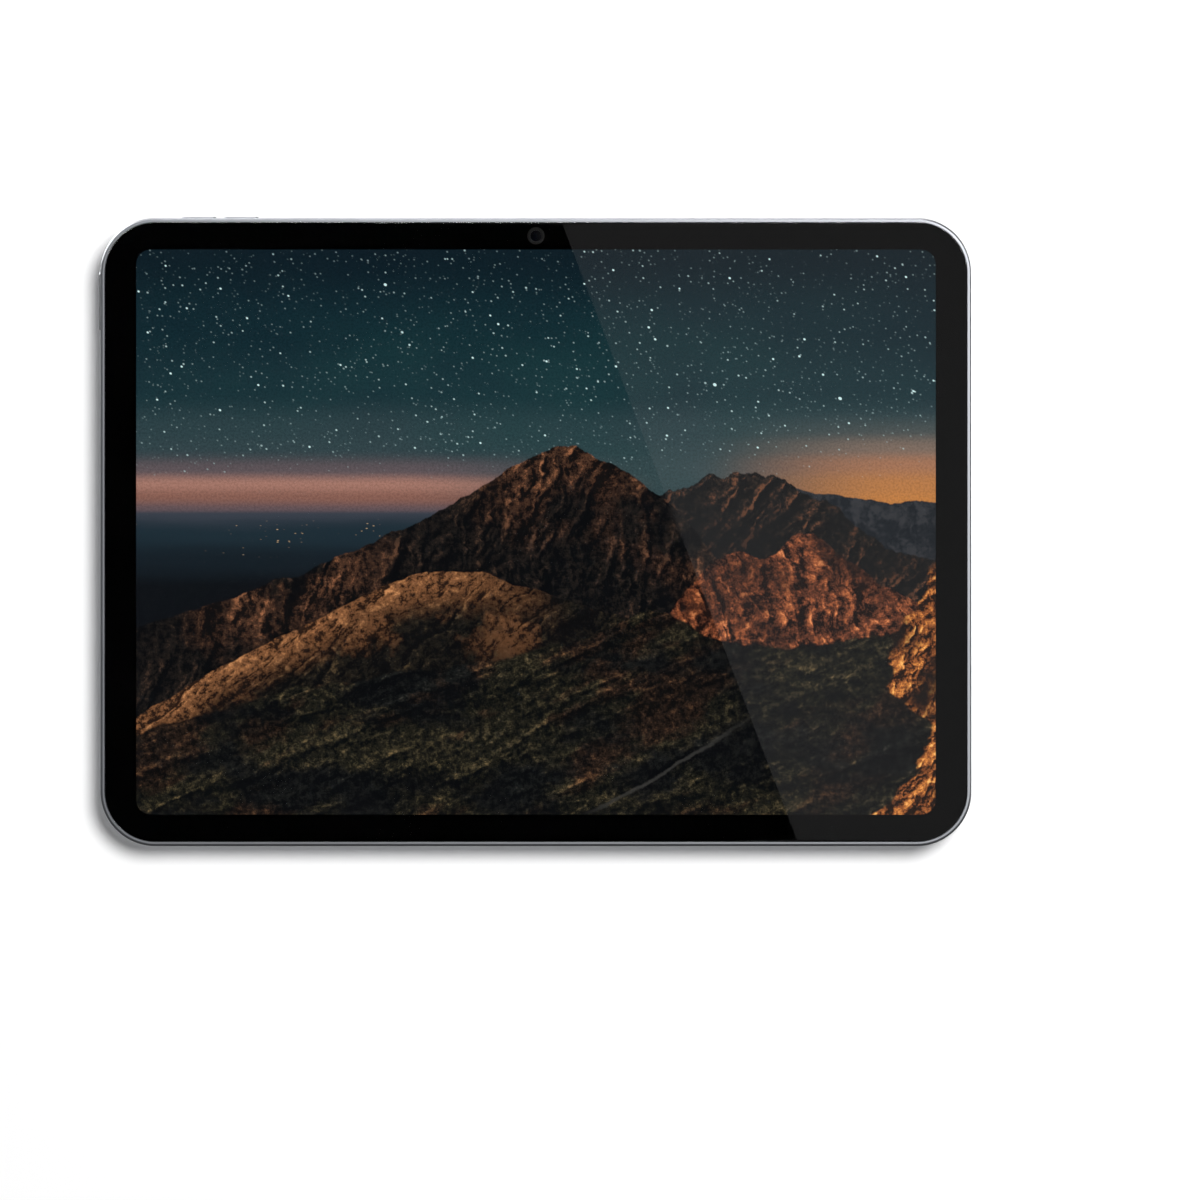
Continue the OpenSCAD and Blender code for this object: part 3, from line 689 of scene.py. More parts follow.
# How each of the record's material slots is finished: its maker, and what the maker takes
FINISHES = {
    "case_metal": (blasted, CASE_GREY),
    "button_metal": (blasted, rgb(128, 130, 134), 0.32, 0.003 * MM),
    "camera_ring_metal": (turned_metal, rgb(150, 152, 156), REAR_CAMERA),
    "cover_glass": (clear,),
    "black_ink": (printed_black,),
    "optical_adhesive": (clear, 1.03),
    "gasket_foam": (moulded, rgb(38, 38, 39), 0.85, 0.03 * MM, 3500),
    "optical_film": (moulded, rgb(238, 240, 242), 0.45, 0.004 * MM, 9000, 0.02),
    "light_guide": (dotted_guide,),
    "reflector_film": (moulded, rgb(244, 244, 242), 0.7, 0.004 * MM, 2500, 0.02),
    "led_package": (moulded, rgb(246, 228, 120), 0.4, 0.01 * MM, 1500, 0.15),
    "tray_metal": (rolled, rgb(196, 198, 202), 0.34, (1, 14, 14), 0.05),
    "graphite": (moulded, rgb(74, 74, 77), 0.42, 0.015 * MM, 900, 0.2),
    "flex_film": (tracked_film, rgb(150, 84, 22), rgb(208, 132, 70), 0.5 * MM),
    "camera_plastic": (moulded, rgb(20, 20, 22), 0.5),
    "lens_glass": (coated_lens,),
    "sensor_package": (moulded, rgb(58, 82, 66), 0.3, 0.006 * MM, 2500, 0.25),
    "camera_window": (clear, 1.5, (0.35, 0.35, 0.37, 1.0), 0.0),
    "battery_foil": (pouch_foil, rgb(34, 34, 36)),
    "adhesive_strip": (moulded, rgb(222, 220, 212), 0.55, 0.02 * MM, 700, 0.06),
    "circuit_board": (board,),
    "chip_epoxy": (moulded, rgb(46, 46, 48), 0.55, 0.01 * MM, 4500, 0.15),
    "shield_steel": (rolled, rgb(198, 199, 201), 0.3),
    "connector_plastic": (moulded, rgb(28, 28, 28), 0.4),
    "screw_steel": (rolled, rgb(172, 172, 175), 0.26, (14, 1, 14)),
    "speaker_plastic": (moulded, rgb(40, 40, 42), 0.6, 0.015 * MM, 3000),
    "mesh_steel": (woven, rgb(78, 78, 80)),
    "port_steel": (rolled, rgb(192, 192, 196), 0.24, (1, 10, 10)),
    "contact_metal": (rolled, rgb(206, 200, 188), 0.26, (14, 14, 1)),
    "insulator_plastic": (moulded, rgb(92, 93, 96), 0.5),
    "fingerprint_window": (smoked_window,),
    "spring_steel": (rolled, rgb(206, 206, 208), 0.22, (14, 14, 1)),
    "microphone_can": (rolled, rgb(206, 186, 140), 0.25, (10, 1, 10)),
    "magnet_nickel": (rolled, rgb(200, 201, 204), 0.14, (6, 6, 6), 0.05),
    "window_plastic": (moulded, rgb(112, 114, 118), 0.48, 0.004 * MM, 9000),
    "coil_copper": (windings, COPPER, middle("charging_coil"), 0.5 * MM),
    "antenna_copper": (tracked_film, rgb(70, 46, 28), COPPER, 1.2 * MM),
}
finish_cache = {}


def finish(slot):
    """The material of a slot, made once."""
    if slot not in finish_cache:
        maker, *choices = FINISHES[slot]
        finish_cache[slot] = maker(slot, *choices)
    return finish_cache[slot]


def screen_material():
    """The lit screen: the picture within its frame, and black everywhere else."""
    s = Shader("screen_glass", Roughness=0.3, Specular_IOR_Level=0.0)
    x, y, z = s.place()
    height = SCREEN_HIGH.z - SCREEN_LOW.z
    u, v = (x - SCREEN_LOW.x) / height, (z - SCREEN_LOW.z) / height
    front = s.step(y, PANEL_LOW.y + 0.1 * MM, PANEL_LOW.y + 0.05 * MM)
    lit = s.mix((0.0, 0.0, 0.0, 1.0), night_landscape(s, u, v), front)
    s.set("Emission Color", lit)
    s.surface.inputs["Emission Strength"].default_value = 1.08
    s.set("Base Color", two_tone(s, rgb(8, 9, 10), 0.3, 60))
    # Nothing needs lighting by the screen, and looking for it as a lamp is slow.
    s.material.cycles.emission_sampling = "NONE"
    return s.material


# ---- Mesh building ----


def basis(across, up, out, origin):
    """The frame of a face: across and up lie in it, and out leaves it."""
    columns = [Vector(v).to_4d() for v in (across, up, out, origin)]
    for column in columns[:3]:
        column.w = 0
    return Matrix(columns).transposed()


# The faces of the tablet, each seen from outside
SCREEN_SIDE = basis((1, 0, 0), (0, 0, 1), (0, -1, 0), (0, 0, 0))
BACK_SIDE = basis((-1, 0, 0), (0, 0, 1), (0, 1, 0), (0, 0, 0))
LEFT_EDGE = basis((0, 0, 1), (0, 1, 0), (-1, 0, 0), (-HALF_W, -MID_DEPTH, 0))
RIGHT_EDGE = basis((0, 0, 1), (0, -1, 0), (1, 0, 0), (HALF_W, -MID_DEPTH, 0))
UPPER_EDGE = basis((1, 0, 0), (0, 1, 0), (0, 0, 1), (0, -MID_DEPTH, HALF_H))


def rounded_rect(width, height, radius, steps=CORNER_STEPS, centre=(0, 0)):
    """Points round a rectangle with round corners, anticlockwise from its right side."""
    points = []
    for turn, (sx, sy) in enumerate(((1, 1), (-1, 1), (-1, -1), (1, -1))):
        cx = centre[0] + sx * (width / 2 - radius)
        cy = centre[1] + sy * (height / 2 - radius)
        for i in range(steps + 1):
            a = math.pi / 2 * (turn + i / steps)
            points.append((cx + radius * math.cos(a), cy + radius * math.sin(a)))
    return points


def stadium(length, width, steps=ROUND_STEPS // 4, centre=(0, 0)):
    """A slot with round ends, long in its first direction."""
    return rounded_rect(length, width, width / 2 - 1e-7, steps, centre)


def circle(radius, centre=(0, 0), steps=ROUND_STEPS):
    return [
        (
            centre[0] + radius * math.cos(math.tau * i / steps),
            centre[1] + radius * math.sin(math.tau * i / steps),
        )
        for i in range(steps)
    ]


def inset_rect(width, height, radius, steps, centre=(0, 0), keep_radius=False):
    """The rectangle as a function of how far it is drawn in."""

    def outline_at(inset):
        corner = radius if keep_radius else radius - inset
        return rounded_rect(width - 2 * inset, height - 2 * inset, corner, steps, centre)

    return outline_at


def inset_stadium(length, width, steps=ROUND_STEPS // 4, centre=(0, 0)):
    """The slot as a function of how far it is drawn in."""

    def outline_at(inset):
        return stadium(length - 2 * inset, width - 2 * inset, steps, centre)

    return outline_at


def loft(bm, face, rings, cap_first=True, cap_last=True):
    """Skins a list of (outline, out) rings that have the same number of points."""
    loops = [
        [bm.verts.new(face @ Vector((u, v, out))) for u, v in outline] for outline, out in rings
    ]
    count = len(loops[0])
    for low, high in zip(loops, loops[1:]):
        for i in range(count):
            j = (i + 1) % count
            bm.faces.new((low[i], low[j], high[j], high[i]))
    if cap_first:
        bm.faces.new(list(reversed(loops[0])))
    if cap_last:
        bm.faces.new(loops[-1])


def finish_mesh(bm, name):
    """An object from bm, smooth but for edges sharper than SHARP_ANGLE."""
    bmesh.ops.remove_doubles(bm, verts=bm.verts, dist=1e-7)
    bmesh.ops.recalc_face_normals(bm, faces=bm.faces)
    mesh = bpy.data.meshes.new(name)
    bm.to_mesh(mesh)
    bm.free()
    for polygon in mesh.polygons:
        polygon.use_smooth = True
    mesh.set_sharp_from_angle(angle=SHARP_ANGLE)
    made = bpy.data.objects.new(name, mesh)
    bpy.context.scene.collection.objects.link(made)
    return made


def piece(made, body, slot, *nodes, material=None):
    """Puts a finished mesh on its body, with its slot, its finish and what it replaces."""
    made.data.materials.clear()
    made.data.materials.append(material or finish(slot))
    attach(made, body)
    if nodes:
        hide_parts(*nodes)
    return made


def cut(made, cutter):
    """Takes cutter out of made, and removes it."""
    modifier = made.modifiers.new("cut", "BOOLEAN")
    modifier.operation, modifier.solver, modifier.object = "DIFFERENCE", "EXACT", cutter
    graph = bpy.context.evaluated_depsgraph_get()
    result = bpy.data.meshes.new_from_object(made.evaluated_get(graph), depsgraph=graph)
    made.modifiers.clear()
    old, made.data = made.data, result
    result.name = made.name
    bpy.data.meshes.remove(old)
    bpy.data.objects.remove(cutter)
    made.data.set_sharp_from_angle(angle=SHARP_ANGLE)


def arc(inset, depth, radius, start, stop, steps):
    """(inset, depth) points on an arc round a centre, angles in degrees."""
    return [
        (
            inset + radius * math.cos(math.radians(start + (stop - start) * i / steps)),
            depth + radius * math.sin(math.radians(start + (stop - start) * i / steps)),
        )
        for i in range(steps + 1)
    ]


def inset_rings(width, height, radius, profile):
    """Rings for loft() on the screen side: profile lists (inset, depth)."""
    return [
        (rounded_rect(width - 2 * i, height - 2 * i, radius - i), depth) for i, depth in profile
    ]


# ---- The case ----

RIM_ROUND = 0.7 * MM
BACK_ROUND = 0.9 * MM
HOLE_BEVEL = 0.12 * MM


def hole_rings(outline_at, low, high, bevel=HOLE_BEVEL):
    """A cutter's rings from low to just past high, flared where it meets the surface."""
    past = 0.05 * MM
    return [
        (outline_at(0), low),
        (outline_at(0), high - bevel),
        (outline_at(bevel + past), high + past),
    ]


def case_cutters():
    """Everything that is bored or milled through the case, as one mesh."""
    bm = bmesh.new()
    through = -WALL - 1 * MM

    def slot_at(length, width, centre):
        return lambda grow: stadium(length + 2 * grow, width + 2 * grow, centre=centre)

    def round_at(radius, centre, steps=ROUND_STEPS // 2):
        return lambda grow: circle(radius + grow, centre, steps)

    # Speaker holes in both short edges
    mesh_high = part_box("speaker_meshes")[1]
    group_z = mesh_high.z - SPEAKER_HOLES * SPEAKER_PITCH / 2
    for face in (LEFT_EDGE, RIGHT_EDGE):
        for side in (-1, 1):
            for i in range(SPEAKER_HOLES):
                z = side * group_z + (i - (SPEAKER_HOLES - 1) / 2) * SPEAKER_PITCH
                loft(bm, face, hole_rings(round_at(SPEAKER_R, (z, 0)), through, 0))
    # Socket, button slots, charging window and microphone
    loft(bm, RIGHT_EDGE, hole_rings(slot_at(*SOCKET_OPENING, (0, 0)), through, 0, 0.2 * MM))
    for node, face in (
        ("top_button", LEFT_EDGE),
        ("volume_up_button", UPPER_EDGE),
        ("volume_down_button", UPPER_EDGE),
    ):
        length, width, centre = button_size(node)
        slot = slot_at(length + 0.2 * MM, width + 0.2 * MM, centre)
        loft(bm, face, hole_rings(slot, through, 0, 0.1 * MM))
    low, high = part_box("charging_window")
    window = slot_at(high.x - low.x + 0.06 * MM, 3 * MM, ((low.x + high.x) / 2, 0))
    loft(bm, UPPER_EDGE, hole_rings(window, through, 0, 0.04 * MM))
    mic_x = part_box("microphones")[1].x - TOP_MICROPHONE_INSET
    loft(bm, UPPER_EDGE, hole_rings(round_at(0.45 * MM, (mic_x, 0)), through, 0))
    # Rear camera, its microphone and the dock pads, through the back
    ring_low, ring_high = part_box("rear_camera_ring")
    camera_x, camera_z = REAR_CAMERA
    deep = -FLOOR - 0.4 * MM
    hole = round_at((ring_high.x - ring_low.x) / 2 + 0.05 * MM, (-camera_x, camera_z), 96)
    loft(bm, BACK_SIDE, hole_rings(hole, deep, 0, 0.08 * MM))
    mic = round_at(0.5 * MM, (-camera_x - REAR_MICROPHONE_OFFSET, camera_z))
    loft(bm, BACK_SIDE, hole_rings(mic, deep, 0))
    pad_low, pad_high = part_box("dock_contacts")
    pad_x = (pad_low.x + pad_high.x) / 2
    pitch = (pad_high.z - pad_low.z - (pad_high.x - pad_low.x)) / 2
    for i in (-1, 0, 1):
        pad = round_at(1.8 * MM, (-pad_x, i * pitch))
        loft(bm, BACK_SIDE, hole_rings(pad, deep, 0, 0.06 * MM))
    return finish_mesh(bm, "case_cutters")


def button_size(node):
    """(length, width, centre) of a button's cap in its own edge's frame."""
    low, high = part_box(node)
    flange = 0.5 * MM
    width = high.y - low.y - 2 * flange
    if node == "top_button":
        return high.z - low.z - 2 * flange, width, ((low.z + high.z) / 2, 0)
    return high.x - low.x - 2 * flange, width, ((low.x + high.x) / 2, 0)


def make_case():
    """The unibody: floor, walls, the ledge under the glass and the rounded rim."""
    ledge = -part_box("display_gasket")[1].y
    profile = [
        (WALL + 6 * MM, FLOOR),
        (WALL, FLOOR),
        (WALL, ledge),
        (RIM, ledge),
        (RIM, CASE_DEPTH - 0.06 * MM),
        (RIM - 0.06 * MM, CASE_DEPTH),
        (RIM_ROUND + 0.06 * MM, CASE_DEPTH),
    ]
    profile += arc(RIM_ROUND, CASE_DEPTH - RIM_ROUND, RIM_ROUND, 90, 180, 8)
    profile += [(0, MID_DEPTH + 1.6 * MM), (0, MID_DEPTH - 1.6 * MM)]
    profile += arc(BACK_ROUND, BACK_ROUND, BACK_ROUND, 180, 270, 10)
    profile += [(BACK_ROUND + 0.3 * MM, 0), (WALL + 6 * MM, 0)]
    bm = bmesh.new()
    loft(bm, SCREEN_SIDE, inset_rings(2 * HALF_W, 2 * HALF_H, CORNER_R, profile))
    made = finish_mesh(bm, "rear_case_shell")
    cut(made, case_cutters())
    return piece(made, "case", "case_metal", "rear_case")


make_case()

# ---- Cover glass and the black border behind it ----

GLASS_ROUND = 0.22 * MM
PRINT_GAP = 0.01 * MM


def make_glass():
    width, height = GLASS_HIGH.x - GLASS_LOW.x, GLASS_HIGH.z - GLASS_LOW.z
    profile = [(6 * MM, GLASS_BACK), (0.05 * MM, GLASS_BACK), (0, GLASS_BACK + 0.05 * MM)]
    profile += arc(GLASS_ROUND, GLASS_FRONT - GLASS_ROUND, GLASS_ROUND, 180, 90, 7)
    profile += [(GLASS_ROUND + 0.4 * MM, GLASS_FRONT), (6 * MM, GLASS_FRONT)]
    bm = bmesh.new()
    loft(bm, SCREEN_SIDE, inset_rings(width, height, CORNER_R - RIM, profile))
    made = finish_mesh(bm, "front_glass")
    return piece(made, "case", "cover_glass", "cover_glass")


def sheet_with_holes(name, outline, holes, back, front):
    """A flat sheet between two depths, with holes, on the screen side."""
    bm = bmesh.new()
    edges = []
    for points in [outline] + holes:
        verts = [bm.verts.new(SCREEN_SIDE @ Vector((u, v, back))) for u, v in points]
        edges += [bm.edges.new((a, b)) for a, b in zip(verts, verts[1:] + verts[:1])]
    bmesh.ops.triangle_fill(bm, use_beauty=True, use_dissolve=False, edges=edges)
    grown = bmesh.ops.extrude_face_region(bm, geom=bm.faces[:])
    moved = [g for g in grown["geom"] if isinstance(g, bmesh.types.BMVert)]
    bmesh.ops.translate(bm, verts=moved, vec=(0, back - front, 0))
    return finish_mesh(bm, name)


def make_border():
    width, height = GLASS_HIGH.x - GLASS_LOW.x, GLASS_HIGH.z - GLASS_LOW.z
    screen_w = SCREEN_HIGH.x - SCREEN_LOW.x
    screen_h = SCREEN_HIGH.z - SCREEN_LOW.z
    camera_low, camera_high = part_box("front_camera_housing")
    camera_z = (camera_low.z + camera_high.z) / 2
    outline = rounded_rect(width - 0.1 * MM, height - 0.1 * MM, CORNER_R - RIM - 0.05 * MM)
    holes = [
        rounded_rect(screen_w, screen_h, SCREEN_R, 16),
        circle(2.5 * MM, (0, camera_z)),
    ]
    back = -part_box("bezel_mask")[1].y
    made = sheet_with_holes("border_print", outline, holes, back, GLASS_BACK - PRINT_GAP)
    return piece(made, "case", "black_ink", "bezel_mask")


def slab(face, outline_at, low, high, edge):
    """A flat piece from low to high whose outer edge is softly rounded."""
    bm = bmesh.new()
    rings = [(outline_at(edge * 0.4), low), (outline_at(0), low + edge * 0.4)]
    for inset, out in arc(edge, high - edge, edge, 180, 90, 6):
        rings.append((outline_at(inset), out))
    rings.append((outline_at(edge * 2.2), high))
    loft(bm, face, rings)
    return bm


def make_screen():
    """The display panel with its picture, and the clear adhesive over it."""
    width, height = PANEL_HIGH.x - PANEL_LOW.x, PANEL_HIGH.z - PANEL_LOW.z
    outline = inset_rect(width, height, 5 * MM, 16)
    bm = slab(SCREEN_SIDE, outline, -PANEL_HIGH.y, -PANEL_LOW.y - PRINT_GAP, 0.04 * MM)
    panel = finish_mesh(bm, "screen_panel")
    piece(panel, "case", "screen_glass", "display_panel", material=screen_material())
    width, height = SCREEN_HIGH.x - SCREEN_LOW.x, SCREEN_HIGH.z - SCREEN_LOW.z
    outline = inset_rect(width, height, SCREEN_R, 16)
    bm = slab(SCREEN_SIDE, outline, -SCREEN_HIGH.y, -SCREEN_LOW.y - PRINT_GAP, 0.004 * MM)
    piece(finish_mesh(bm, "clear_adhesive"), "case", "optical_adhesive", "optical_adhesive")


make_glass()
make_border()
make_screen()

# ---- Cameras ----


def lathe(face, centre, profile, name, closed=False, steps=96):
    """A turned piece from (radius, out) points; closed joins the last point to the first."""
    bm = bmesh.new()
    rings = [(circle(radius, centre, steps), out) for radius, out in profile]
    if closed:
        rings.append(rings[0])
    loft(bm, face, rings, not closed, not closed)
    return finish_mesh(bm, name)


def ledges(radius, front, count, across, down, taper):
    """(radius, out) points of steps that narrow from radius and lead inwards from front."""
    points = []
    for i in range(count):
        r = radius - i * across
        points += [(r, front - i * down), (r - taper, front - (i + 1) * down)]
    return points


def domed_lens(face, centre, radius, seat, front, name, steps):
    """A lens with a short straight side under its dome."""
    side = 0.06 * MM
    dome = front - seat - side
    profile = [(radius, seat), (radius, seat + side)]
    for i in range(1, 9):
        a = math.radians(90 * i / 8.5)
        profile.append((radius * math.cos(a), seat + side + dome * math.sin(a)))
    return lathe(face, centre, profile, name, steps=steps)


def make_rear_camera():
    centre = (-REAR_CAMERA[0], REAR_CAMERA[1])
    low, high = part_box("rear_camera_ring")
    radius = (high.x - low.x) / 2
    proud, seat = high.y, low.y
    bore, inner, shelf = 6.3 * MM, 5.4 * MM, proud - 0.7 * MM
    profile = [(inner, seat), (inner, shelf - 0.05 * MM), (inner + 0.05 * MM, shelf), (bore, shelf)]
    profile += arc(bore + 0.12 * MM, proud - 0.12 * MM, 0.12 * MM, 180, 90, 4)
    # A polished chamfer between two soft corners
    profile += [(radius - 0.42 * MM, proud), (radius - 0.36 * MM, proud - 0.015 * MM)]
    profile += [(radius - 0.02 * MM, proud - 0.33 * MM), (radius, proud - 0.4 * MM), (radius, seat)]
    ring = lathe(BACK_SIDE, centre, profile, "camera_ring", closed=True, steps=128)
    piece(ring, "case", "camera_ring_metal", "rear_camera_ring")

    low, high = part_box("rear_camera_window")
    radius = (high.x - low.x) / 2
    profile = [(radius - 0.03 * MM, low.y), (radius, low.y + 0.03 * MM)]
    profile += arc(radius - 0.06 * MM, high.y - 0.06 * MM, 0.06 * MM, 0, 90, 4)
    profile += [(4 * MM, high.y)]
    window = lathe(BACK_SIDE, centre, profile, "camera_window")
    piece(window, "case", "camera_window", "rear_camera_window")

    # A stepped black barrel that narrows round a domed lens
    low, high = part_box("rear_camera_lens")
    radius = (high.x - low.x) / 2
    rim = 3.8 * MM
    body_low, body_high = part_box("rear_camera_module")
    front = body_high.y
    profile = [(rim, -FLOOR - 0.08 * MM)]
    profile += arc(rim - 0.1 * MM, front - 0.1 * MM, 0.1 * MM, 0, 90, 3)
    profile += ledges(rim - 0.3 * MM, front, 4, 0.22 * MM, 0.07 * MM, 0.05 * MM)
    profile += [(radius + 0.05 * MM, low.y), (radius + 0.05 * MM, low.y - 0.14 * MM)]
    bm = bmesh.new()
    loft(bm, BACK_SIDE, [(circle(r, centre, 96), out) for r, out in profile])
    width = body_high.x - body_low.x
    box = inset_rect(width, width, 1 * MM, 8, centre, keep_radius=True)
    block = slab(BACK_SIDE, box, body_low.y, -FLOOR - 0.05 * MM, 0.1 * MM)
    module = finish_mesh(join(bm, block), "camera_module")
    piece(module, "case", "camera_plastic", "rear_camera_module")
    lens = domed_lens(BACK_SIDE, centre, radius, low.y, high.y, "camera_lens", 96)
    piece(lens, "case", "lens_glass", "rear_camera_lens")


def join(first, second):
    """Moves the second bmesh's mesh into the first."""
    mesh = bpy.data.meshes.new("joined")
    second.to_mesh(mesh)
    second.free()
    first.from_mesh(mesh)
    bpy.data.meshes.remove(mesh)
    return first


def make_front_camera():
    low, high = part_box("front_camera_housing")
    lens_low, lens_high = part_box("front_camera_lens")
    centre = (0, (low.z + high.z) / 2)
    front, lens_front, lens_back = -low.y, -lens_low.y, -lens_high.y
    radius = (lens_high.x - lens_low.x) / 2
    rim = 2.2 * MM
    profile = [(rim, -high.y + 1 * MM)]
    profile += arc(rim - 0.06 * MM, front - 0.06 * MM, 0.06 * MM, 0, 90, 3)
    profile += ledges(rim - 0.12 * MM, front, 3, 0.14 * MM, 0.05 * MM, 0.04 * MM)
    profile += [(radius + 0.04 * MM, lens_back), (radius + 0.04 * MM, lens_back - 0.1 * MM)]
    bm = bmesh.new()
    loft(bm, SCREEN_SIDE, [(circle(r, centre, 64), out) for r, out in profile])
    width = high.x - low.x
    box = inset_rect(width, width, 0.5 * MM, 6, centre, keep_radius=True)
    block = slab(SCREEN_SIDE, box, -high.y, front - 0.55 * MM, 0.08 * MM)
    housing = finish_mesh(join(bm, block), "front_camera_body")
    piece(housing, "case", "camera_plastic", "front_camera_housing")
    lens = domed_lens(SCREEN_SIDE, centre, radius, lens_back, lens_front, "front_lens", 64)
    piece(lens, "case", "lens_glass", "front_camera_lens")


make_rear_camera()
make_front_camera()

# ---- Buttons ----

LEFT_PROUD = CASE_LOW.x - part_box("top_button")[0].x
UPPER_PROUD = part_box("volume_up_button")[1].z - CASE_HIGH.z
BUTTON_ROUND = 0.28 * MM
FLANGE = 0.45 * MM
STEM_R = 0.8 * MM


def button(node, face, proud, name, recess=None):
    """A cap with a soft edge, the flange that keeps it in, and the stem that presses.

    recess is (inset, depth) of a dish in the cap.
    """
    length, width, centre = button_size(node)
    low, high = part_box(node)
    flat = inset_stadium(length, width, centre=centre)
    depth = (high - low).x if face is LEFT_EDGE else (high - low).z
    bottom = proud - depth
    flange_low = proud - BUTTON_PROUD - WALL - 0.15 * MM - FLANGE
    rings = [(flat(0), flange_low + FLANGE)]
    edge = arc(BUTTON_ROUND, proud - BUTTON_ROUND, BUTTON_ROUND, 180, 90, 6)
    rings += [(flat(inset), out) for inset, out in edge]
    if recess:
        inset, deep = recess
        rings += [(flat(inset - 0.05 * MM), proud), (flat(inset), proud - 0.05 * MM)]
        rings += [(flat(inset), proud - deep)]
    bm = bmesh.new()
    loft(bm, face, rings)
    wide = inset_stadium(length + 1 * MM, width + 1 * MM, centre=centre)
    bm = join(bm, slab(face, wide, flange_low, flange_low + FLANGE, 0.05 * MM))

    def stem(inset):
        return circle(STEM_R - inset, centre, 24)

    bm = join(bm, slab(face, stem, bottom, flange_low, 0.05 * MM))
    return piece(finish_mesh(bm, name), node, "button_metal", node)


def make_buttons():
    dish = (0.6 * MM, 0.35 * MM)
    button("top_button", LEFT_EDGE, LEFT_PROUD, "power_key", dish)
    button("volume_up_button", UPPER_EDGE, UPPER_PROUD, "volume_up_key")
    button("volume_down_button", UPPER_EDGE, UPPER_PROUD, "volume_down_key")
    # The fingerprint window, dished a little into the top button
    length, width, centre = button_size("top_button")
    low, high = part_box("fingerprint_window")
    back = -high.x + CASE_LOW.x
    front = -low.x + CASE_LOW.x
    face = inset_stadium(length - 1.26 * MM, width - 0.76 * MM, centre=centre)
    bm = slab(LEFT_EDGE, face, back, front, 0.06 * MM)
    window = finish_mesh(bm, "fingerprint_reader")
    piece(window, "top_button", "fingerprint_window", "fingerprint_window")


make_buttons()

# ---- Socket and dock pads ----


def make_socket():
    """The drawn shell with its rolled lip, and the tongue with its row of contacts."""
    length = PORT_HIGH.z - PORT_LOW.z
    width = PORT_HIGH.y - PORT_LOW.y
    depth = PORT_HIGH.x - PORT_LOW.x
    front = PORT_HIGH.x - HALF_W
    back = front - depth
    sheet, base = (length - SOCKET_INSIDE) / 2, 0.4 * MM
    outer = inset_stadium(length, width, 20)
    lip = sheet / 2
    rings = [(outer(0.1 * MM), back), (outer(0), back + 0.1 * MM)]
    rings += [(outer(i), out) for i, out in arc(lip, front - lip, lip, 180, 0, 8)]
    rings += [(outer(sheet), back + base + 0.1 * MM), (outer(sheet + 0.1 * MM), back + base)]
    bm = bmesh.new()
    loft(bm, RIGHT_EDGE, rings)
    piece(finish_mesh(bm, "socket_shell"), "case", "port_steel", "port_shell")

    low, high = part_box("port_tongue")
    tip, root = high.x - HALF_W, low.x - HALF_W
    blade = inset_rect(TONGUE_W, TONGUE_THICK, 0.3 * MM, 6)
    foot = inset_rect(high.z - low.z, high.y - low.y, 0.6 * MM, 6, keep_radius=True)
    bm = slab(RIGHT_EDGE, blade, root + 0.5 * MM, tip, 0.12 * MM)
    bm = join(bm, slab(RIGHT_EDGE, foot, root, root + 1.3 * MM, 0.08 * MM))
    piece(finish_mesh(bm, "socket_tongue"), "case", "connector_plastic", "port_tongue")
    # Plated contacts on both faces of the tongue; the outermost reach furthest.
    count, pitch = 12, 0.5 * MM
    pad_length, pad_thick = 0.26 * MM, 0.06 * MM
    bm = bmesh.new()
    for side in (-1, 1):
        for i in range(count):
            centre = ((i - (count - 1) / 2) * pitch, side * 0.345 * MM)
            pad = rounded_rect(pad_length, pad_thick, 0.02 * MM, 3, centre)
            reach = tip - (0.3 * MM if i in (0, count - 1) else 0.5 * MM)
            loft(bm, RIGHT_EDGE, [(pad, root + 1.2 * MM), (pad, reach)])
    made = finish_mesh(bm, "socket_contacts")
    piece(made, "case", "contact_metal")


def make_dock_pads():
    low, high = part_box("dock_contacts")
    x = (low.x + high.x) / 2
    radius = (high.x - low.x) / 2
    pitch = (high.z - low.z) / 2 - radius
    bm = bmesh.new()
    for i in (-1, 0, 1):
        centre = (-x, i * pitch)
        profile = [(radius, low.y)] + arc(radius - 0.1 * MM, high.y - 0.1 * MM, 0.1 * MM, 0, 80, 4)
        profile += [(radius * 0.6, high.y - 0.004 * MM), (radius * 0.2, high.y)]
        loft(bm, BACK_SIDE, [(circle(r, centre), out) for r, out in profile])
    piece(finish_mesh(bm, "dock_pads"), "case", "contact_metal", "dock_contacts")


make_socket()
make_dock_pads()

# ---- The CAD nodes that stay ----


def finish_cad_nodes():
    for row in RECORD["subparts"]:
        node = frame["nodes"][row["node"]]
        if node.hide_render:
            continue
        node.data.materials.clear()
        node.data.materials.append(finish(row["material_slot"]))


finish_cad_nodes()

# ---- Stage ----

WALL_GAP = 5.5 * MM
FLOOR_Z = -0.3
KEY_AT = (0.93, -3.1, 0.9)
CARD_DISTANCE = 2.6
# The two ends on the glass of the straight edge of the reflection
GLOSS_TOP = Vector((7.3 * MM, 0, 88.2 * MM))
GLOSS_FOOT = Vector((74.3 * MM, 0, -87.7 * MM))


def quad(name, corners, material, only):
    """A stage plane, seen by the kinds of ray that only names."""
    mesh = bpy.data.meshes.new(name)
    mesh.from_pydata([tuple(c) for c in corners], [], [tuple(range(len(corners)))])
    mesh.materials.append(material)
    made = bpy.data.objects.new(name, mesh)
    bpy.context.scene.collection.objects.link(made)
    for kind in ("camera", "diffuse", "glossy", "transmission", "shadow", "volume_scatter"):
        setattr(made, "visible_" + kind, kind in only)
    return made


def plaster(name, colour):
    return Shader(name, Base_Color=colour, Roughness=0.9, Specular_IOR_Level=0.0)


def glow(name, level):
    s = Shader(name, Base_Color=(0, 0, 0, 1), Roughness=1.0, Specular_IOR_Level=0.0)
    s.set("Emission Color", (1, 1, 1, 1))
    s.set("Emission Strength", level)
    s.material.cycles.emission_sampling = "NONE"
    return s.material


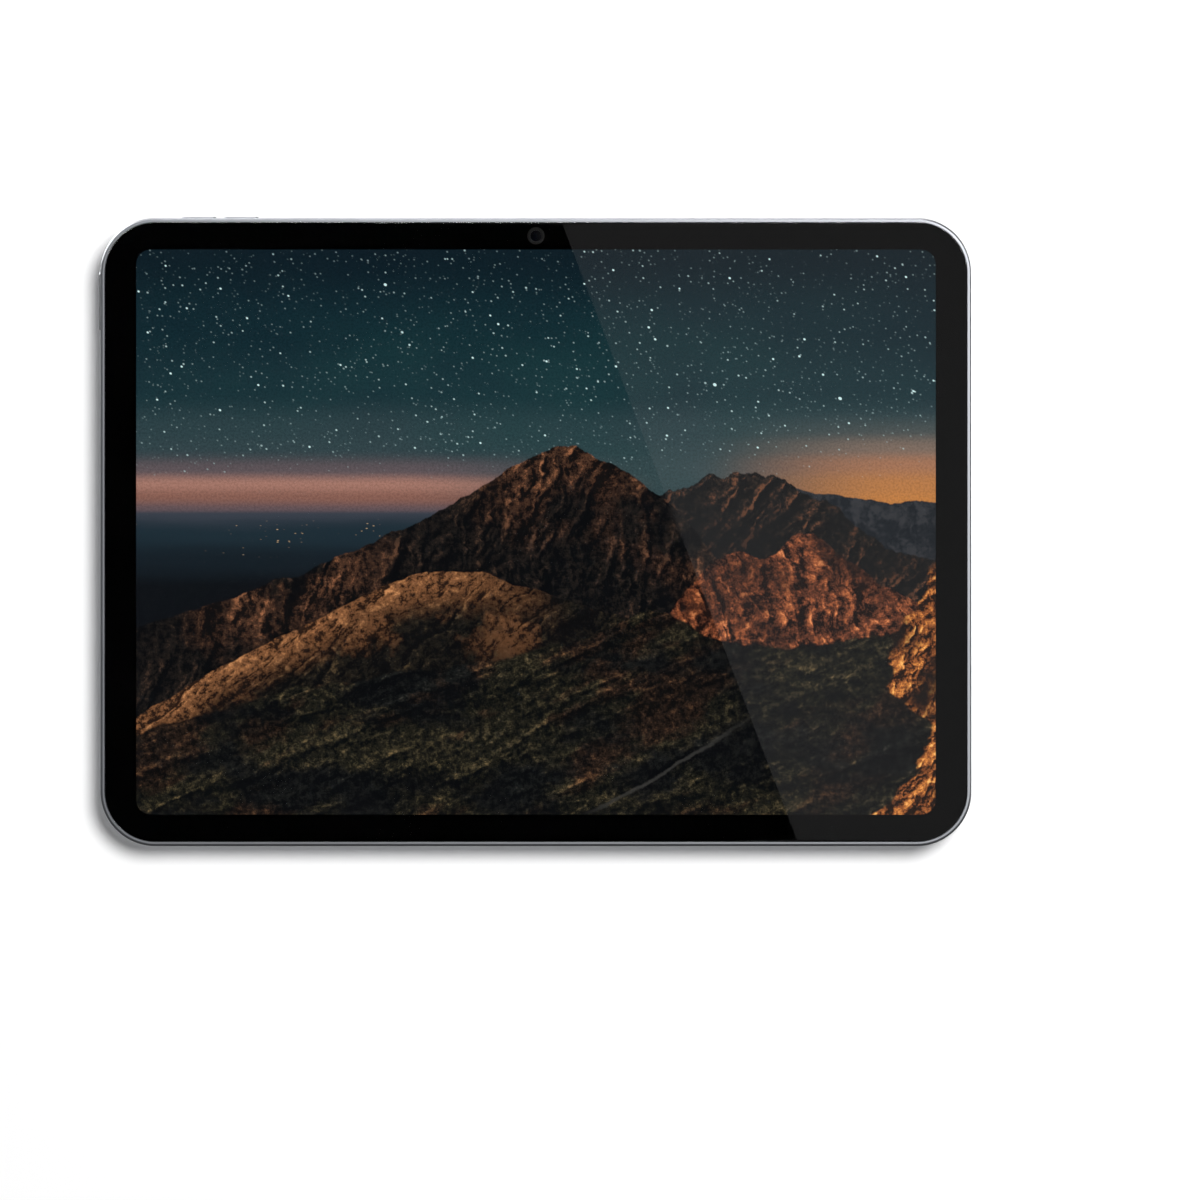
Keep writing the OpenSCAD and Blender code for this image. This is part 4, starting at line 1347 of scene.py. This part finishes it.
def mirrored(on_glass, distance):
    """Where the camera sees the plane at that distance in a point of the glass."""
    stretch = distance / CAMERA_DISTANCE
    eye = camera.location
    return Vector(
        (
            on_glass.x + (on_glass.x - eye.x) * stretch,
            -distance,
            on_glass.z + (on_glass.z - eye.z) * stretch,
        )
    )


def make_stage():
    wall_y = CASE_HIGH.y + WALL_GAP
    wall = plaster("wall", (0.9, 0.9, 0.9, 1))
    # From behind, the wall lets the view of the tablet's back through.
    facing = wall.node("ShaderNodeNewGeometry")
    gone = wall.node("ShaderNodeBsdfTransparent")
    blend = wall.node("ShaderNodeMixShader")
    wall.tree.links.new(facing.outputs["Backfacing"], blend.inputs[0])
    wall.tree.links.new(wall.surface.outputs[0], blend.inputs[1])
    wall.tree.links.new(gone.outputs[0], blend.inputs[2])
    wall.tree.links.new(blend.outputs[0], wall.output.inputs["Surface"])
    half, ceiling = 0.5, 0.5
    corners = [(-half, FLOOR_Z), (half, FLOOR_Z), (half, ceiling), (-half, ceiling)]
    quad("wall", [(x, wall_y, z) for x, z in corners], wall.material, only=("camera",))
    floor = plaster("floor", (0.86, 0.86, 0.86, 1))
    reach = 4.0
    corners = [(-reach, -reach), (reach, -reach), (reach, reach), (-reach, reach)]
    quad("floor", [(x, y, FLOOR_Z) for x, y in corners], floor.material, only=("camera",))
    # A dim card and a dark one behind the camera, whose shared edge shows on the glass
    top = mirrored(GLOSS_TOP, CARD_DISTANCE)
    foot = mirrored(GLOSS_FOOT, CARD_DISTANCE)
    along = (foot - top).normalized()
    card = 1.2
    a, b = top - along * card, foot + along * card
    out = Vector((card, 0, 0))
    seen = ("glossy", "transmission")
    quad("dim_card", [a, b, b + out, a + out], glow("dim_card", 0.14), only=seen)
    quad("dark_card", [a, b, b - out, a - out], glow("dark_card", 0.0), only=seen)


def area_light(name, at, size, power):
    """A round lamp that shines at the tablet's middle."""
    data = bpy.data.lights.new(name, "AREA")
    data.shape, data.size, data.energy = "DISK", size, power
    made = bpy.data.objects.new(name, data)
    made.location = at
    made.rotation_euler = (-Vector(at)).to_track_quat("-Z", "Y").to_euler()
    bpy.context.scene.collection.objects.link(made)
    return made


def make_world():
    """White to the camera, softer for what it lights, and dim in reflections."""
    world = bpy.data.worlds.new("studio")
    bpy.context.scene.world = world
    world.use_nodes = True
    tree = world.node_tree
    tree.nodes.clear()
    ray = tree.nodes.new("ShaderNodeLightPath")
    sky = tree.nodes.new("ShaderNodeBackground")
    sky.inputs["Color"].default_value = (1, 1, 1, 1)
    out = tree.nodes.new("ShaderNodeOutputWorld")
    tree.links.new(sky.outputs[0], out.inputs[0])

    # What every ray sees, and how much more these kinds of ray see
    start = tree.nodes.new("ShaderNodeValue")
    start.outputs[0].default_value = 0.16
    level = start.outputs[0]
    for kind, more in (("Is Camera Ray", 0.84), ("Is Diffuse Ray", 0.06)):
        made = tree.nodes.new("ShaderNodeMath")
        made.operation = "MULTIPLY_ADD"
        tree.links.new(ray.outputs[kind], made.inputs[0])
        made.inputs[1].default_value = more
        tree.links.new(level, made.inputs[2])
        level = made.outputs[0]
    tree.links.new(level, sky.inputs["Strength"])


make_stage()
make_world()
area_light("key", KEY_AT, 1.4, 122)
# The glints show only in metal and glass, and leave the wall's shadow as the key makes it.
for name, at, size, power in (
    ("glint_above", (0.0, -0.3, 2.4), 1.2, 50),
    ("glint_left", (-1.7, -0.25, 1.7), 2.0, 90),
):
    glint = area_light(name, at, size, power)
    glint.visible_diffuse = glint.visible_transmission = False
area_light("back_left", (-2.0, 2.4, 1.5), 2.4, 180)
area_light("back_right", (2.2, 2.2, 0.5), 1.6, 100)
bpy.context.scene.view_settings.view_transform = "Standard"
